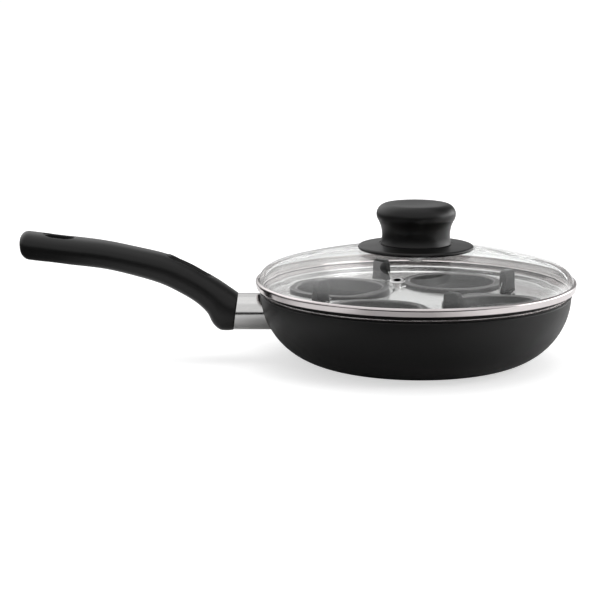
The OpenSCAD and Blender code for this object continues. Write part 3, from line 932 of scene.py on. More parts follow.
@dataclass(frozen=True)
class Glass:
    """Toughened glass: clear with a faint tint, finger marks and slight waves, and it lets lamps through."""

    name: str
    colour: Colour
    rough: float = 0.02
    coat: float = 0.9
    bend: float = 1.01
    mark_scale: float = 45.0
    mark_range: Pair = (0.45, 0.75)
    dust_scale: float = 1300.0
    wave_scale: float = 22.0
    wave_depth: float = 0.0002
    lamp_share: float = 0.94

    def make(self) -> Material:
        """Builds the material: Principled glass, and a Transparent shader for rays from the lamps."""
        g = Graph(self.name)
        marks = g.noise(self.mark_scale, 6.0, 0.65)
        dust = g.noise(self.dust_scale, 3.0, 0.7)
        rough = g.span(g.weighed(marks, 0.8, dust, 0.2), 0.0, self.rough * 2, self.mark_range)
        body = g.principled(
            Base_Color=g.ramp(marks, [(0.3, self.colour), (0.8, shade(self.colour, 0.97))]),
            Roughness=rough,
            IOR=self.bend,
            Transmission_Weight=1.0,
            Coat_Weight=self.coat,
            Coat_IOR=1.5,
            Coat_Roughness=0.03,
            Normal=g.bump(g.noise(self.wave_scale, 2.0), self.wave_depth, 0.1),
        )
        clear = g.add("ShaderNodeBsdfTransparent", {"Color": (*shade(self.colour, self.lamp_share), 1.0)})
        path = g.add("ShaderNodeLightPath").outputs
        return g.end(g.mixed(path["Is Shadow Ray"], body, clear))


@dataclass(frozen=True)
class Rubber:
    """Silicone rubber: matt, with a fine dusty bloom."""

    name: str
    colour: Colour
    bloom_scale: float = 160.0
    grain_scale: float = 2200.0
    grain_depth: float = 0.00003

    def make(self) -> Material:
        """Builds the material: bloom in colour and roughness, fine grain in height."""
        g = Graph(self.name)
        bloom = g.noise(self.bloom_scale, 5.0, 0.6)
        fine = g.noise(self.grain_scale, 2.0)
        colour = g.ramp(bloom, [(0.3, self.colour), (0.75, shade(self.colour, 1.9))])
        return g.finish(
            Base_Color=colour,
            Roughness=g.span(bloom, 0.55, 0.8, NOISE_RANGE),
            Specular_IOR_Level=0.3,
            Normal=g.bump(fine, self.grain_depth, 0.4),
        )


@dataclass
class Finishes:
    """Every finish of the pan, made once and shared."""

    made: dict[Slot | Trim, Material] = field(default_factory=dict)

    RECIPES: ClassVar[dict[Slot | Trim, Coating | Moulded | Metal | Glass | Rubber]] = {
        Slot.PAN_COATING: Coating("satin_pan_coating", (0.0016, 0.0013, 0.0014), fleck=3.6, level=0.31),
        # The cups' lip edges are lightened by wear and a painted highlight.
        Slot.CUP_COATING: Coating(
            "satin_cup_coating", (0.022, 0.021, 0.021), fleck=1.4, rough=0.4, level=0.4, wear_and_highlight=1.5, grain=0.1
        ),
        Slot.PHENOLIC: Moulded("black_phenolic", (0.0014, 0.0012, 0.0013), rough=0.33, level=0.38),
        Slot.GRIP_PLASTIC: Moulded("black_grip_plastic", (0.012, 0.012, 0.012), rough=0.33, level=0.4),
        Slot.POLISHED_STEEL: Metal("polished_steel", (0.76, 0.755, 0.75), 0.17),
        Slot.TRAY_STEEL: Metal("rolled_tray_steel", (0.76, 0.75, 0.75), 0.24, turn=18.0),
        Slot.RIM_STEEL: Metal("spun_rim_steel", (0.74, 0.69, 0.69), 0.13, lay=Lay.ROUND),
        Slot.BRACKET_METAL: Metal(
            "cast_bracket_metal", (0.55, 0.55, 0.56), 0.48, lay=Lay.NONE, line_depth=0.00006
        ),
        Slot.ZINC_STEEL: Metal("zinc_plated_steel", (0.66, 0.67, 0.70), 0.28, lay=Lay.NONE),
        Slot.BRASS: Metal("turned_brass", (0.72, 0.52, 0.22), 0.26, lay=Lay.ROUND),
        Slot.CLEAR_GLASS: Glass("toughened_glass", (0.985, 0.995, 0.99)),
        Slot.SILICONE: Rubber("black_silicone", (0.018, 0.018, 0.019)),
        Trim.UNDERSIDE: Metal(
            "turned_aluminium", (0.70, 0.70, 0.71), 0.34, lay=Lay.ROUND, line_depth=0.00003
        ),
        Trim.INNER_GLASS: Glass("toughened_glass_inside", (0.985, 0.995, 0.99), coat=0.3),
        # Painted shade: near-black steel for the rim's neck and ledge, the tray's cut edges and the vent's
        # bore.
        Trim.PAINTED_SHADE: Metal("painted_shade_steel", (0.022, 0.021, 0.021), 0.42, lay=Lay.NONE),
    }

    def __post_init__(self) -> None:
        """Builds each recipe's material."""
        for key, recipe in self.RECIPES.items():
            self.made[key] = recipe.make()

    def of(self, key: Slot | Trim) -> Material:
        """Material of a slot or trim."""
        return self.made[key]


# Sub-assemblies


@dataclass
class Assembly:
    """What every sub-assembly shares: the finishes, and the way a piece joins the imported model."""

    PACKED: ClassVar[dict[str, Slot]] = {}

    finishes: Finishes

    def join(self, obj: Object, node: str, body: str, slot: Slot) -> Object:
        """Makes a finished piece stand for a node, ride on its body and wear its finish.

        Args:
            obj: The piece.
            node: The node it replaces.
            body: The body it rides on.
            slot: Its material slot.

        Returns:
            The piece.
        """
        obj.data.materials.append(self.finishes.of(slot))
        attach(obj, body)
        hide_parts(node)
        low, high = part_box(node)
        shown = obj.evaluated_get(bpy.context.evaluated_depsgraph_get())
        mesh = shown.to_mesh()
        pts = vectors(mesh.vertices, "co")
        off = np.concatenate([pts.min(axis=0) - np.array(low), pts.max(axis=0) - np.array(high)]) / MM
        count, off = len(mesh.polygons), np.round(off, 2).tolist()
        LOG.info("%s: %d faces, box differs by %s mm", obj.name, count, off)
        shown.to_mesh_clear()
        return obj

    def dress(self) -> None:
        """Gives each carried-over node its finish through its own slots."""
        for node, slot in self.PACKED.items():
            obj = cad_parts[node]
            if not obj.data.materials:
                obj.data.materials.append(self.finishes.of(slot))
            for material_slot in obj.material_slots:
                material_slot.material = self.finishes.of(slot)
            LOG.info("%s: packed mesh, %s", node, slot.value)

    @staticmethod
    def thicken(obj: Object, thickness: float, edge: float) -> None:
        """Gives a sheet its thickness behind its faces, and rounds its cut edges."""
        solid = obj.modifiers.new("thickness", "SOLIDIFY")
        solid.thickness = thickness * MM
        solid.offset = -1.0
        bevel = obj.modifiers.new("edge", "BEVEL")
        bevel.width = edge * MM
        bevel.segments = 2
        bevel.limit_method = "ANGLE"
        bevel.angle_limit = math.radians(50)
        bevel.harden_normals = True


@dataclass
class PanAndGuard(Assembly):
    """Coated pan with its turned underside, and the steel guard between it and the handle."""

    PACKED: ClassVar[dict[str, Slot]] = {
        "handle_bracket": Slot.BRACKET_METAL,
        "handle_washer": Slot.ZINC_STEEL,
        "handle_screw": Slot.ZINC_STEEL,
    }

    height: float = 45.2
    wall_t: float = 3.0
    curve_r: float = 45.7
    base_r: float = 56.103
    plain_r: float = 9.0
    groove_pitch: float = 4.0
    groove_w: float = 1.2
    groove_d: float = 0.3
    groove_round: float = 0.12
    bare_rise: float = 0.05
    bare_past_base: float = 1.5
    guard_h: float = 23.6
    guard_w: float = 26.8
    guard_t: float = 0.8
    guard_edge: float = 0.12
    guard_rear_gap: float = 0.05
    guard_front_gap: float = 0.1
    face_x: float = -0.1
    face_z: float = -0.05
    face_tilt: float = 7.626

    def base(self) -> Array:
        """Underside in section: a flat base with a dip that has rounded corners for each groove."""
        corners: list[Corner] = [(0.0, 0.0, 0.0)]
        w, d, soft = self.groove_w / 2, self.groove_d, self.groove_round
        for g in np.arange(self.plain_r, self.base_r - self.groove_pitch + 0.01, self.groove_pitch):
            corners += [(g - w, 0.0, soft), (g - w, d, soft), (g + w, d, soft), (g + w, 0.0, soft)]
        corners.append((self.base_r, 0.0, 0.0))
        return rounded(corners, steps=3, closed=False)

    def pan(self) -> Object:
        """Turns the pan: a quarter-round wall outside and inside, a round rim and grooves underneath.

        The wall is centre + radius * (sin a, -cos a) round (base_r, curve_r), and the rim is a half round
        between the ends of its two faces.

        Returns:
            The pan, with its bare metal in a second slot.
        """
        c, r, t = self.curve_r, self.curve_r, self.wall_t

        def angle(depth: float, radius: float) -> float:
            """Angle under the horizontal, in degrees, at a depth below the wall's middle."""
            return math.degrees(math.asin(min(1.0, depth / radius)))

        inner_end = self.base_r + (r - t) * math.cos(math.radians(angle(c - self.height, r - t)))
        outer_end = self.base_r + r * math.cos(math.radians(angle(c - self.height, r)))
        half = (outer_end - inner_end) / 2
        rim = arc((inner_end + half, self.height - half), half, 0, 180, 16)
        depth = c - self.height + half
        wall_out = arc((self.base_r, c), r, -90, -angle(depth, r), 44)[1:]
        wall_in = arc((self.base_r, c), r - t, -angle(depth, r - t), -90, 40)
        floor = line((self.base_r, t), (0.0, t), 10)[1:]
        outline = np.concatenate([self.base(), wall_out, rim[1:-1], wall_in, floor])
        obj = solid_revolve("coated_pan", outline, WIDE_TURN)
        self.join(obj, "pan_body", Body.PAN.value, Slot.PAN_COATING)
        mid = face_middles(obj)
        low = mid[:, 2] < self.groove_d + self.bare_rise
        near = np.hypot(mid[:, 0], mid[:, 1]) < self.base_r + self.bare_past_base
        second_finish(obj, self.finishes.of(Trim.UNDERSIDE), low & near)
        return obj

    def guard(self) -> Object:
        """Bends the guard: an oval tube from the grip's slanted face to the pan's curved wall.

        Its oval is a stadium with its long side across. At height z a point y off the axis meets the wall at
        x = -sqrt(R(z)^2 - y^2), where R(z) = base_r + sqrt(curve_r^2 - (curve_r - z)^2).

        Returns:
            The guard.
        """
        r, c = self.guard_h / 2, (self.guard_w - self.guard_h) / 2
        top = line((c, r), (-c, r), 4)[1:]
        under = line((-c, -r), (c, -r), 4)[1:-1]
        oval = np.concatenate([arc((c, 0), r, -90, 90, 48), top, arc((-c, 0), r, 90, 270, 48)[1:], under])
        y, z = oval[:, 0], oval[:, 1] + GRIP_Z
        lean = math.tan(math.radians(self.face_tilt))
        rear = GRIP_X + self.face_x + self.guard_rear_gap + (z - GRIP_Z - self.face_z) * lean
        wall = self.base_r + np.sqrt(self.curve_r**2 - (self.curve_r - z) ** 2)
        front = -np.sqrt((wall + self.guard_front_gap) ** 2 - y**2)
        share = np.linspace(0, 1, 25)[:, None]
        x = rear * (1 - share) + front * share
        grid = np.stack([x, np.broadcast_to(y, x.shape), np.broadcast_to(z, x.shape)], axis=-1)
        draft = MeshDraft()
        draft.grid(grid, wrap_cols=True)

        def outwards(middles: Array) -> Array:
            """Direction away from the handle's axis."""
            away = middles - GRIP_Z * AXIS_Z
            away[:, 0] = 0.0
            return away

        obj = draft.build("steel_flame_guard", outwards)
        self.thicken(obj, self.guard_t, self.guard_edge)
        return self.join(obj, "flame_guard", Body.PAN.value, Slot.POLISHED_STEEL)

    def make(self) -> None:
        """Builds the pan and its guard, and dresses the bracket, washer and screw inside."""
        self.pan()
        self.guard()
        self.dress()


@dataclass
class Handle(Assembly):
    """Moulded handle: a rounded section carried along a smooth line, with its hole, recess and screw well."""

    power: float = 2.5
    end_r: float = 5.2
    end_rise: float = 0.12
    columns: int = 128
    row_gap: float = 1.1
    samples: int = 2200
    hole_place: Pair = (-116.2, 41.7)
    hole_tilt: float = 7.0
    hole_size: Pair = (20.0, 14.0)
    hole_edge: float = 1.3
    recess_place: Pair = (-29.5, 31.2)
    recess_tilt: float = 28.0
    recess_size: Pair = (33.0, 12.0)
    recess_edge: float = 0.8
    recess_d: float = 2.4
    recess_soft: float = 1.4
    well_w: float = 11.8
    well_edge: float = 0.6
    well_end: float = 12.5
    bore_w: float = 6.6
    seat_w: float = 9.2
    seat_end: float = 5.2
    stations: tuple[tuple[float, float, float, float, float], ...] = (
        (-135.3, 53.0, -134.3, 34.8, 14.0),
        (-112.0, 50.1, -110.0, 31.9, 14.6),
        (-87.0, 47.0, -85.0, 28.8, 14.2),
        (-64.0, 42.4, -65.0, 24.0, 13.6),
        (-45.0, 37.8, -49.0, 19.0, 13.2),
        (-30.0, 31.6, -37.0, 13.2, 13.0),
        (-20.0, 26.0, -26.0, 6.4, 13.0),
        (-13.0, 21.9, -19.0, -0.4, 13.2),
        (-8.5, 19.0, -15.2, -7.5, 13.4),
        (-4.5, 16.2, -11.0, -11.6, 13.5),
        (-1.5, 14.1, -6.5, -12.4, 13.5),
        (1.5, 11.9, -1.7, -12.0, 13.4),
    )

    def station(self, s: Array) -> Array:
        """Section sizes along the smooth curve through the stations.

        Args:
            s: Whole or part indices.

        Returns:
            Top x and z, bottom x and z and half width, each a Catmull-Rom blend of four neighbours.
        """
        table = np.array(self.stations)
        last = len(table) - 1
        i = np.clip(np.floor(s).astype(int), 0, last - 1)
        t = (s - i)[..., None]
        p0, p1 = table[np.maximum(i - 1, 0)], table[i]
        p2, p3 = table[i + 1], table[np.minimum(i + 2, last)]
        square, cube = 2 * p0 - 5 * p1 + 4 * p2 - p3, 3 * p1 - p0 - 3 * p2 + p3
        return 0.5 * (2 * p1 + (p2 - p0) * t + square * t**2 + cube * t**3)

    def section(self, st: Array, a: Array, inset: float = 0.0, back: float = 0.0) -> Array:
        """Points of the rounded section: middle + half * bulge(sin a) + width * bulge(cos a).

        The bulge of a value is its sign times its size to the power 2 / power. An inset draws the section
        in, and back moves it towards the rear.

        Args:
            st: Section sizes.
            a: Angles in degrees, from the side over the top.
            inset: How far the section is drawn in.
            back: How far it lies behind its station.

        Returns:
            Points in the grip's own frame.
        """
        rad = np.radians(a)
        up, out = np.sin(rad), np.cos(rad)
        up = np.sign(up) * np.abs(up) ** (2 / self.power)
        out = np.sign(out) * np.abs(out) ** (2 / self.power)
        mid_x, mid_z = (st[..., 0] + st[..., 2]) / 2, (st[..., 1] + st[..., 3]) / 2
        half_x, half_z = (st[..., 0] - st[..., 2]) / 2, (st[..., 1] - st[..., 3]) / 2
        share = 1 - inset / np.hypot(half_x, half_z)
        x = mid_x - back + half_x * share * up
        z = mid_z + back * self.end_rise + half_z * share * up
        return np.stack([x, (st[..., 4] - inset) * out, z], axis=-1)

    def skin(self) -> Skin:
        """Surface of the grip with rows about row_gap apart, measured halfway between its top and bottom."""
        fine = np.linspace(0, len(self.stations) - 1, self.samples)
        st = self.station(fine)
        top = np.hypot(np.diff(st[:, 0]), np.diff(st[:, 1]))
        bottom = np.hypot(np.diff(st[:, 2]), np.diff(st[:, 3]))
        way = np.concatenate([[0.0], np.cumsum((top + bottom) / 2)])

        def surface(u: Array, v: Array) -> Array:
            """Point of the grip at a distance from the rear and an angle."""
            return self.section(self.station(np.interp(u, way, fine)), v)

        rows = int(way[-1] / self.row_gap)
        self.way, self.fine = way, fine
        return Skin(surface, np.linspace(0, way[-1], rows + 1), full_turn(self.columns))

    def at(self, station: float) -> float:
        """Distance from the rear at a station's index."""
        return float(np.interp(station, self.fine, self.way))

    @staticmethod
    def tilted(place: Pair, tilt: float, size: Pair, side: int = 1) -> Cutter:
        """Cutter whose axis leans from upright towards +x by tilt degrees, and opens up or down."""
        s, c = math.sin(math.radians(tilt)), math.cos(math.radians(tilt))
        middle = np.array([place[0], 0.0, place[1]])
        return Cutter(middle, side * np.array([s, 0.0, c]), np.array([c, 0.0, -s]), AXIS_Y, *size)

    def grip(self) -> Object:
        """Moulds the grip: the carried section, a rounded rear end, three cuts and the flat front face."""
        draft = MeshDraft()
        skin = self.skin()
        self.hole(draft, skin)
        self.recess(draft, skin)
        seat = self.well(draft, skin)
        rows = skin.draw(draft)
        self.rear(draft)
        self.front(draft, rows[-1], seat)
        for part in draft.points:
            part += np.array([GRIP_X, 0.0, GRIP_Z])
        obj = draft.build("moulded_handle")
        return self.join(obj, "handle_grip", Body.PAN.value, Slot.PHENOLIC)

    def hole(self, draft: MeshDraft, skin: Skin) -> None:
        """Cuts the hanging hole through the grip, from above and from below."""
        mouths = []
        for side, station, angle in ((1, 0.82, 90.0), (-1, 0.72, 270.0)):
            cutter = self.tilted(self.hole_place, self.hole_tilt, self.hole_size, side)
            mouth, _ = skin.cut(draft, cutter, (self.at(station), angle), (13, 14), self.hole_edge)
            mouths.append(mouth)
        draft.grid(np.stack([mouths[0], matched(*mouths)]), wrap_cols=True)

    def recess(self, draft: MeshDraft, skin: Skin) -> None:
        """Presses the thumb recess: a blind oval whose floor meets its wall in a quarter round."""
        cutter = self.tilted(self.recess_place, self.recess_tilt, self.recess_size)
        ring, angle = skin.cut(draft, cutter, (self.at(5.05), 90.0), (18, 13), self.recess_edge)
        soft, floor = self.recess_soft, -self.recess_d
        rings = [ring]
        for t in np.radians(np.linspace(0, 90, 7)):
            rings.append(cutter.ring(angle, -soft * (1 - math.cos(t)), floor + soft * (1 - math.sin(t))))
        rings.append(cutter.ring(angle, -soft * 1.3, floor))
        draft.grid(np.stack(rings), wrap_cols=True)
        draft.cap(rings[-1])

    def well(self, draft: MeshDraft, skin: Skin) -> Array:
        """Bores the well for the screw's head, the screw's hole and the square seat in the front face.

        Args:
            draft: Where the faces go.
            skin: Surface of the grip.

        Returns:
            The ring where the seat meets the front face.
        """
        cutter = Cutter(np.zeros(3), -AXIS_X, AXIS_Y, AXIS_Z, self.well_w, self.well_w)
        ring, angle = skin.cut(draft, cutter, (self.at(6.95), 270.0), (12, 13), self.well_edge)
        bore = self.bore_w / 2 - self.well_w / 2
        square = self.seat_w / 2 / np.maximum(np.abs(np.cos(angle)), np.abs(np.sin(angle)))
        seat_y, seat_z = square * np.cos(angle), square * np.sin(angle)
        top_x, top_z, low_x, low_z, _ = self.stations[-1]
        lean = (top_x - low_x) / (top_z - low_z)
        face = (top_x + low_x) / 2 + (seat_z - (top_z + low_z) / 2) * lean
        rings = [
            ring,
            cutter.ring(angle, 0.0, self.well_end),
            cutter.ring(angle, bore, self.well_end),
            cutter.ring(angle, bore, self.seat_end),
            np.column_stack([np.full(len(angle), -self.seat_end), seat_y, seat_z]),
            np.column_stack([face, seat_y, seat_z]),
        ]
        draft.grid(np.stack(rings), wrap_cols=True)
        return rings[-1]

    def rear(self, draft: MeshDraft) -> None:
        """Rounds the rear: sections drawn in by r (1 - cos t) and moved back by r sin t, then a flat face."""
        a = full_turn(self.columns)
        st = np.broadcast_to(self.station(np.array([0.0]))[0], (self.columns, 5))
        rings = []
        for t in np.radians(np.linspace(0, 90, 10)):
            rings.append(self.section(st, a, self.end_r * (1 - math.cos(t)), self.end_r * math.sin(t)))
        rings.append(self.section(st, a, self.end_r * 1.15, self.end_r))
        draft.grid(np.stack(rings), wrap_cols=True)
        draft.cap(rings[-1])

    def front(self, draft: MeshDraft, rim: Array, seat: Array) -> None:
        """Fills the slanted front face between the last section and the square seat."""
        top_x, top_z, low_x, low_z, _ = self.stations[-1]
        tilt = math.atan2(top_x - low_x, top_z - low_z)
        draft.fill([rim, seat], AXIS_Y, np.array([math.sin(tilt), 0.0, math.cos(tilt)]))

    def make(self) -> None:
        """Builds the grip."""
        self.grip()


@dataclass
class TrayAndCups(Assembly):
    """Pressed steel tray with four seats, and the four coated cups with their straps and grips."""

    CUPS: ClassVar[tuple[int, ...]] = (1, 2, 3, 4)
    SEAT_TURN: ClassVar[int] = 120

    flange_r: float = 102.2
    flange_top: float = 46.05
    flange_round: float = 1.0
    sheet_t: float = 0.8
    sheet_edge: float = 0.14
    plate_top: float = 41.75
    plate_r: float = 96.8
    plate_round: float = 1.1
    plate_fill_r: float = 95.0
    seat_top: float = 40.95
    seat_fill_r: float = 37.7
    ledge_r: float = 35.4
    step_r: float = 35.75
    step_w: float = 1.65
    hole_r: float = 30.24
    ring_r: float = 56.47
    first_turn: float = -29.7
    lip_r: float = 33.63
    lip_w: float = 5.0
    lip_mouth_round: float = 1.35
    lip_edge_round: float = 1.1
    cup_t: float = 1.2
    cup_edge: float = 0.15
    cup_top: float = 44.0
    skirt_top: float = 42.8
    skirt_foot: float = 41.0
    skirt_slot_steps: int = 3
    bowl_r: float = 29.17
    bowl_z: float = 49.6
    bowl_floor: float = 23.1
    bowl_end_gap: float = 3.6
    floor_r: float = 12.2
    floor_flat: float = 2.2
    floor_soft: float = 1.6
    wear_and_highlight_in: float = 0.4
    wear_and_highlight_widths: tuple[float, float] = (0.7, 0.6)
    wear_and_highlight_rise: float = 1.2
    wear_and_highlight_foot: float = 1.5
    strap_turn: float = 103.9
    stand: float = 49.33
    face_turn: float = 65.2
    strap_w: float = 8.0
    strap_t: float = 0.7
    strap_edge: float = 0.18
    strap_top: float = 42.75
    strap_h: float = 10.0
    strap_under: float = 1.8
    strap_round: float = 2.5
    strap_corner: float = 0.8
    strap_bend: float = 0.5
    gusset: float = 6.0
    grip_foot: float = 42.15
    grip_foot_w: float = 14.0
    grip_foot_h: float = 3.2
    grip_h: float = 14.4
    grip_w: float = 11.6
    grip_t: float = 5.0
    grip_edge: float = 0.9
    grip_corner: float = 3.0

    def bearing(self, n: int) -> float:
        """Direction of cup n from the pan's axis, in degrees."""
        return self.first_turn + 90.0 * (n - 1)

    def centre(self, n: int) -> tuple[float, float]:
        """Where the axis of cup n stands."""
        a = math.radians(self.bearing(n))
        return self.ring_r * math.cos(a), self.ring_r * math.sin(a)

    def by_cup(self, n: int) -> Change:
        """Function that puts points of a strap's frame, with x along the strap, at cup n."""
        cx, cy = self.centre(n)

        def place(points: Array) -> Array:
            """Turns points to the strap's direction and moves them to the cup."""
            return turned(points, self.bearing(n) + self.strap_turn) + np.array([cx, cy, 0.0])

        return place

    def across_strap(self, n: int) -> Change:
        """Function that stands a flat plate up across strap n, turned to the grip's facing."""
        place = self.by_cup(n)

        def stand(points: Array) -> Array:
            """Stands points up and moves them to the strap's upright."""
            upright = np.stack([points[:, 2], -points[:, 0], points[:, 1]], axis=-1)
            return place(turned(upright, self.face_turn) + np.array([self.stand, 0.0, 0.0]))

        return stand

    def seat_profile(self) -> Array:
        """Upper face of a seat in section: the ledge round its hole, a soft step and the plate."""
        drop = self.plate_top - self.seat_top
        ledge = line((self.hole_r, self.seat_top), (self.ledge_r, self.seat_top), 4)
        s = np.linspace(0, 1, 9)[:, None]
        soft = drop * (3 * s**2 - 2 * s**3)
        step = np.column_stack([self.step_r + self.step_w * s, self.seat_top + soft])
        return np.concatenate([ledge, step, [[self.seat_fill_r, self.plate_top]]])

    def tray(self) -> Object:
        """Presses the tray as one sheet: seats, flat plate, wall and flange.

        Each seat and the outer wall are turned profiles. The plate between them is flat and is filled with
        triangles that share their points.

        Returns:
            The tray.
        """
        draft = MeshDraft()
        loops = []
        for n in self.CUPS:
            ring = revolve(self.seat_profile(), self.SEAT_TURN, self.centre(n), self.bearing(n))
            draft.grid(ring, wrap_cols=True)
            loops.append(ring[-1])
        wall = rounded(
            [
                (self.plate_fill_r, self.plate_top, 0.0),
                (self.plate_r, self.plate_top, self.plate_round),
                (self.plate_r, self.flange_top, self.flange_round),
                (self.flange_r, self.flange_top, 0.0),
            ],
            steps=7,
            closed=False,
        )
        outer = revolve(wall, WIDE_TURN)
        draft.grid(outer, wrap_cols=True)
        draft.fill([outer[0], *loops], AXIS_X, AXIS_Y)
        obj = draft.build("pressed_steel_tray", upwards)
        self.thicken(obj, self.sheet_t, self.sheet_edge)
        self.join(obj, "poacher_tray", Body.TRAY.value, Slot.TRAY_STEEL)
        # Painted shade: the sheet's cut edges, its rim faces, take the near-black steel.
        obj.data.materials.append(self.finishes.of(Trim.PAINTED_SHADE))
        obj.modifiers["thickness"].material_offset_rim = 1
        return obj

    def cup_profile(self) -> Array:
        """Upper face of a cup in section: floor, bowl, rounded mouth, flat lip and rounded shoulder."""
        start = math.degrees(math.asin((self.bowl_z - self.bowl_floor) / self.bowl_r))
        end = math.degrees(math.asin((self.bowl_z - self.cup_top) / self.bowl_r))
        bowl = arc((0.0, self.bowl_z), self.bowl_r, -start, -end - self.bowl_end_gap, 30)
        lip = rounded(
            [
                (float(bowl[-1][0]), float(bowl[-1][1]), 0.0),
                (self.lip_r - self.lip_w, self.cup_top, self.lip_mouth_round),
                (self.lip_r, self.cup_top, self.lip_edge_round),
                (self.lip_r, self.skirt_top, 0.0),
            ],
            steps=7,
            closed=False,
        )
        flat = line((0.0, self.bowl_floor), (self.floor_r - self.floor_flat, self.bowl_floor), 6)
        soft_start = (self.floor_r - self.floor_soft, self.bowl_floor)
        soft = quadratic(soft_start, (self.floor_r, self.bowl_floor), bowl[2], 6)
        return np.concatenate([flat, soft, bowl[3:-1], lip])

    def cup(self, n: int) -> Object:
        """Presses cup n as one sheet with a slot in its skirt where the strap comes through."""
        half_step = 180.0 / SMALL_TURN
        turn = self.bearing(n) + self.strap_turn + half_step
        draft = MeshDraft()
        draft.grid(revolve(self.cup_profile(), SMALL_TURN, self.centre(n), turn), wrap_cols=True)
        edge = line((self.lip_r, self.skirt_top), (self.lip_r, self.skirt_foot), 3)
        skirt = revolve(edge, SMALL_TURN, self.centre(n), turn)
        draft.grid(skirt[:, self.skirt_slot_steps : -self.skirt_slot_steps])
        obj = draft.build(f"coated_egg_cup_{n}", upwards)
        self.thicken(obj, self.cup_t, self.cup_edge)
        self.mark_wear_and_highlight(obj, n)
        return self.join(obj, f"egg_cup_{n}", f"{Body.CUP.value}_{n}", Slot.CUP_COATING)

    def mark_wear_and_highlight(self, obj: Object, n: int) -> None:
        """Marks where a cup's coating rubs thin and a painted highlight lies: a narrow bell round each edge
        of the lip.
        """
        pts = vectors(obj.data.vertices, "co") / MM
        cx, cy = self.centre(n)
        r = np.hypot(pts[:, 0] - cx, pts[:, 1] - cy)
        high = np.clip((pts[:, 2] - (self.cup_top - self.wear_and_highlight_foot)) / self.wear_and_highlight_rise, 0, 1)
        inner_w, outer_w = self.wear_and_highlight_widths
        inner = np.exp(-(((r - (self.lip_r - self.lip_w + self.wear_and_highlight_in)) / inner_w) ** 2))
        outer = np.exp(-(((r - (self.lip_r - self.wear_and_highlight_in)) / outer_w) ** 2))
        layer = obj.data.attributes.new("wear_and_highlight", "FLOAT", "POINT")
        layer.data.foreach_set("value", (np.maximum(inner, outer) * high).astype(np.float32))

    def strap(self, n: int) -> Object:
        """Bends strap n: a flat strip from under the lip, and an upright turned to face the grip."""
        half, corner, soft = self.strap_w / 2, self.strap_corner, self.strap_round
        root, tip = self.lip_r - self.cup_t - self.strap_under, self.stand + half
        low = self.strap_top - self.strap_t
        high = low + self.strap_h
        strip = rounded(
            [(root, -half, corner), (tip, -half, soft), (tip, half, soft), (root, half, corner)]
        )
        upright = rounded(
            [
                (half, low, self.strap_bend),
                (half, high, corner),
                (-half, high, corner),
                (-half - self.gusset, low, corner),
            ]
        )
        draft = MeshDraft()
        add_prism(draft, strip, low, self.strap_top, self.strap_edge, self.by_cup(n))
        face = self.strap_t / 2
        add_prism(draft, counter_clockwise(upright), -face, face, self.strap_edge, self.across_strap(n))
        obj = draft.build(f"steel_cup_strap_{n}")
        return self.join(obj, f"cup_strap_{n}", f"{Body.CUP.value}_{n}", Slot.POLISHED_STEEL)

    def grip(self, n: int) -> Object:
        """Moulds grip n: a tab, wider at its foot, with rounded corners and softened edges."""
        foot, top, bend = self.grip_foot, self.grip_foot + self.grip_h, self.grip_foot + self.grip_foot_h
        flare, side, edge = self.grip_foot_w / 2, self.grip_w / 2, self.grip_edge
        outline = rounded(
            [
                (-flare, foot, edge),
                (flare, foot, edge),
                (flare - edge, bend, self.grip_corner),
                (side, top, self.grip_corner),
                (-side, top, self.grip_corner),
                (-flare + edge, bend, self.grip_corner),
            ],
            steps=7,
        )
        face = self.grip_t / 2
        draft = MeshDraft()
        add_prism(draft, counter_clockwise(outline), -face, face, edge, self.across_strap(n))
        obj = draft.build(f"cup_grip_tab_{n}")
        return self.join(obj, f"cup_grip_{n}", f"{Body.CUP.value}_{n}", Slot.GRIP_PLASTIC)

    def make(self) -> None:
        """Builds the tray and, for each seat, a cup, its strap and its grip."""
        self.tray()
        for n in self.CUPS:
            self.cup(n)
            self.strap(n)
            self.grip(n)


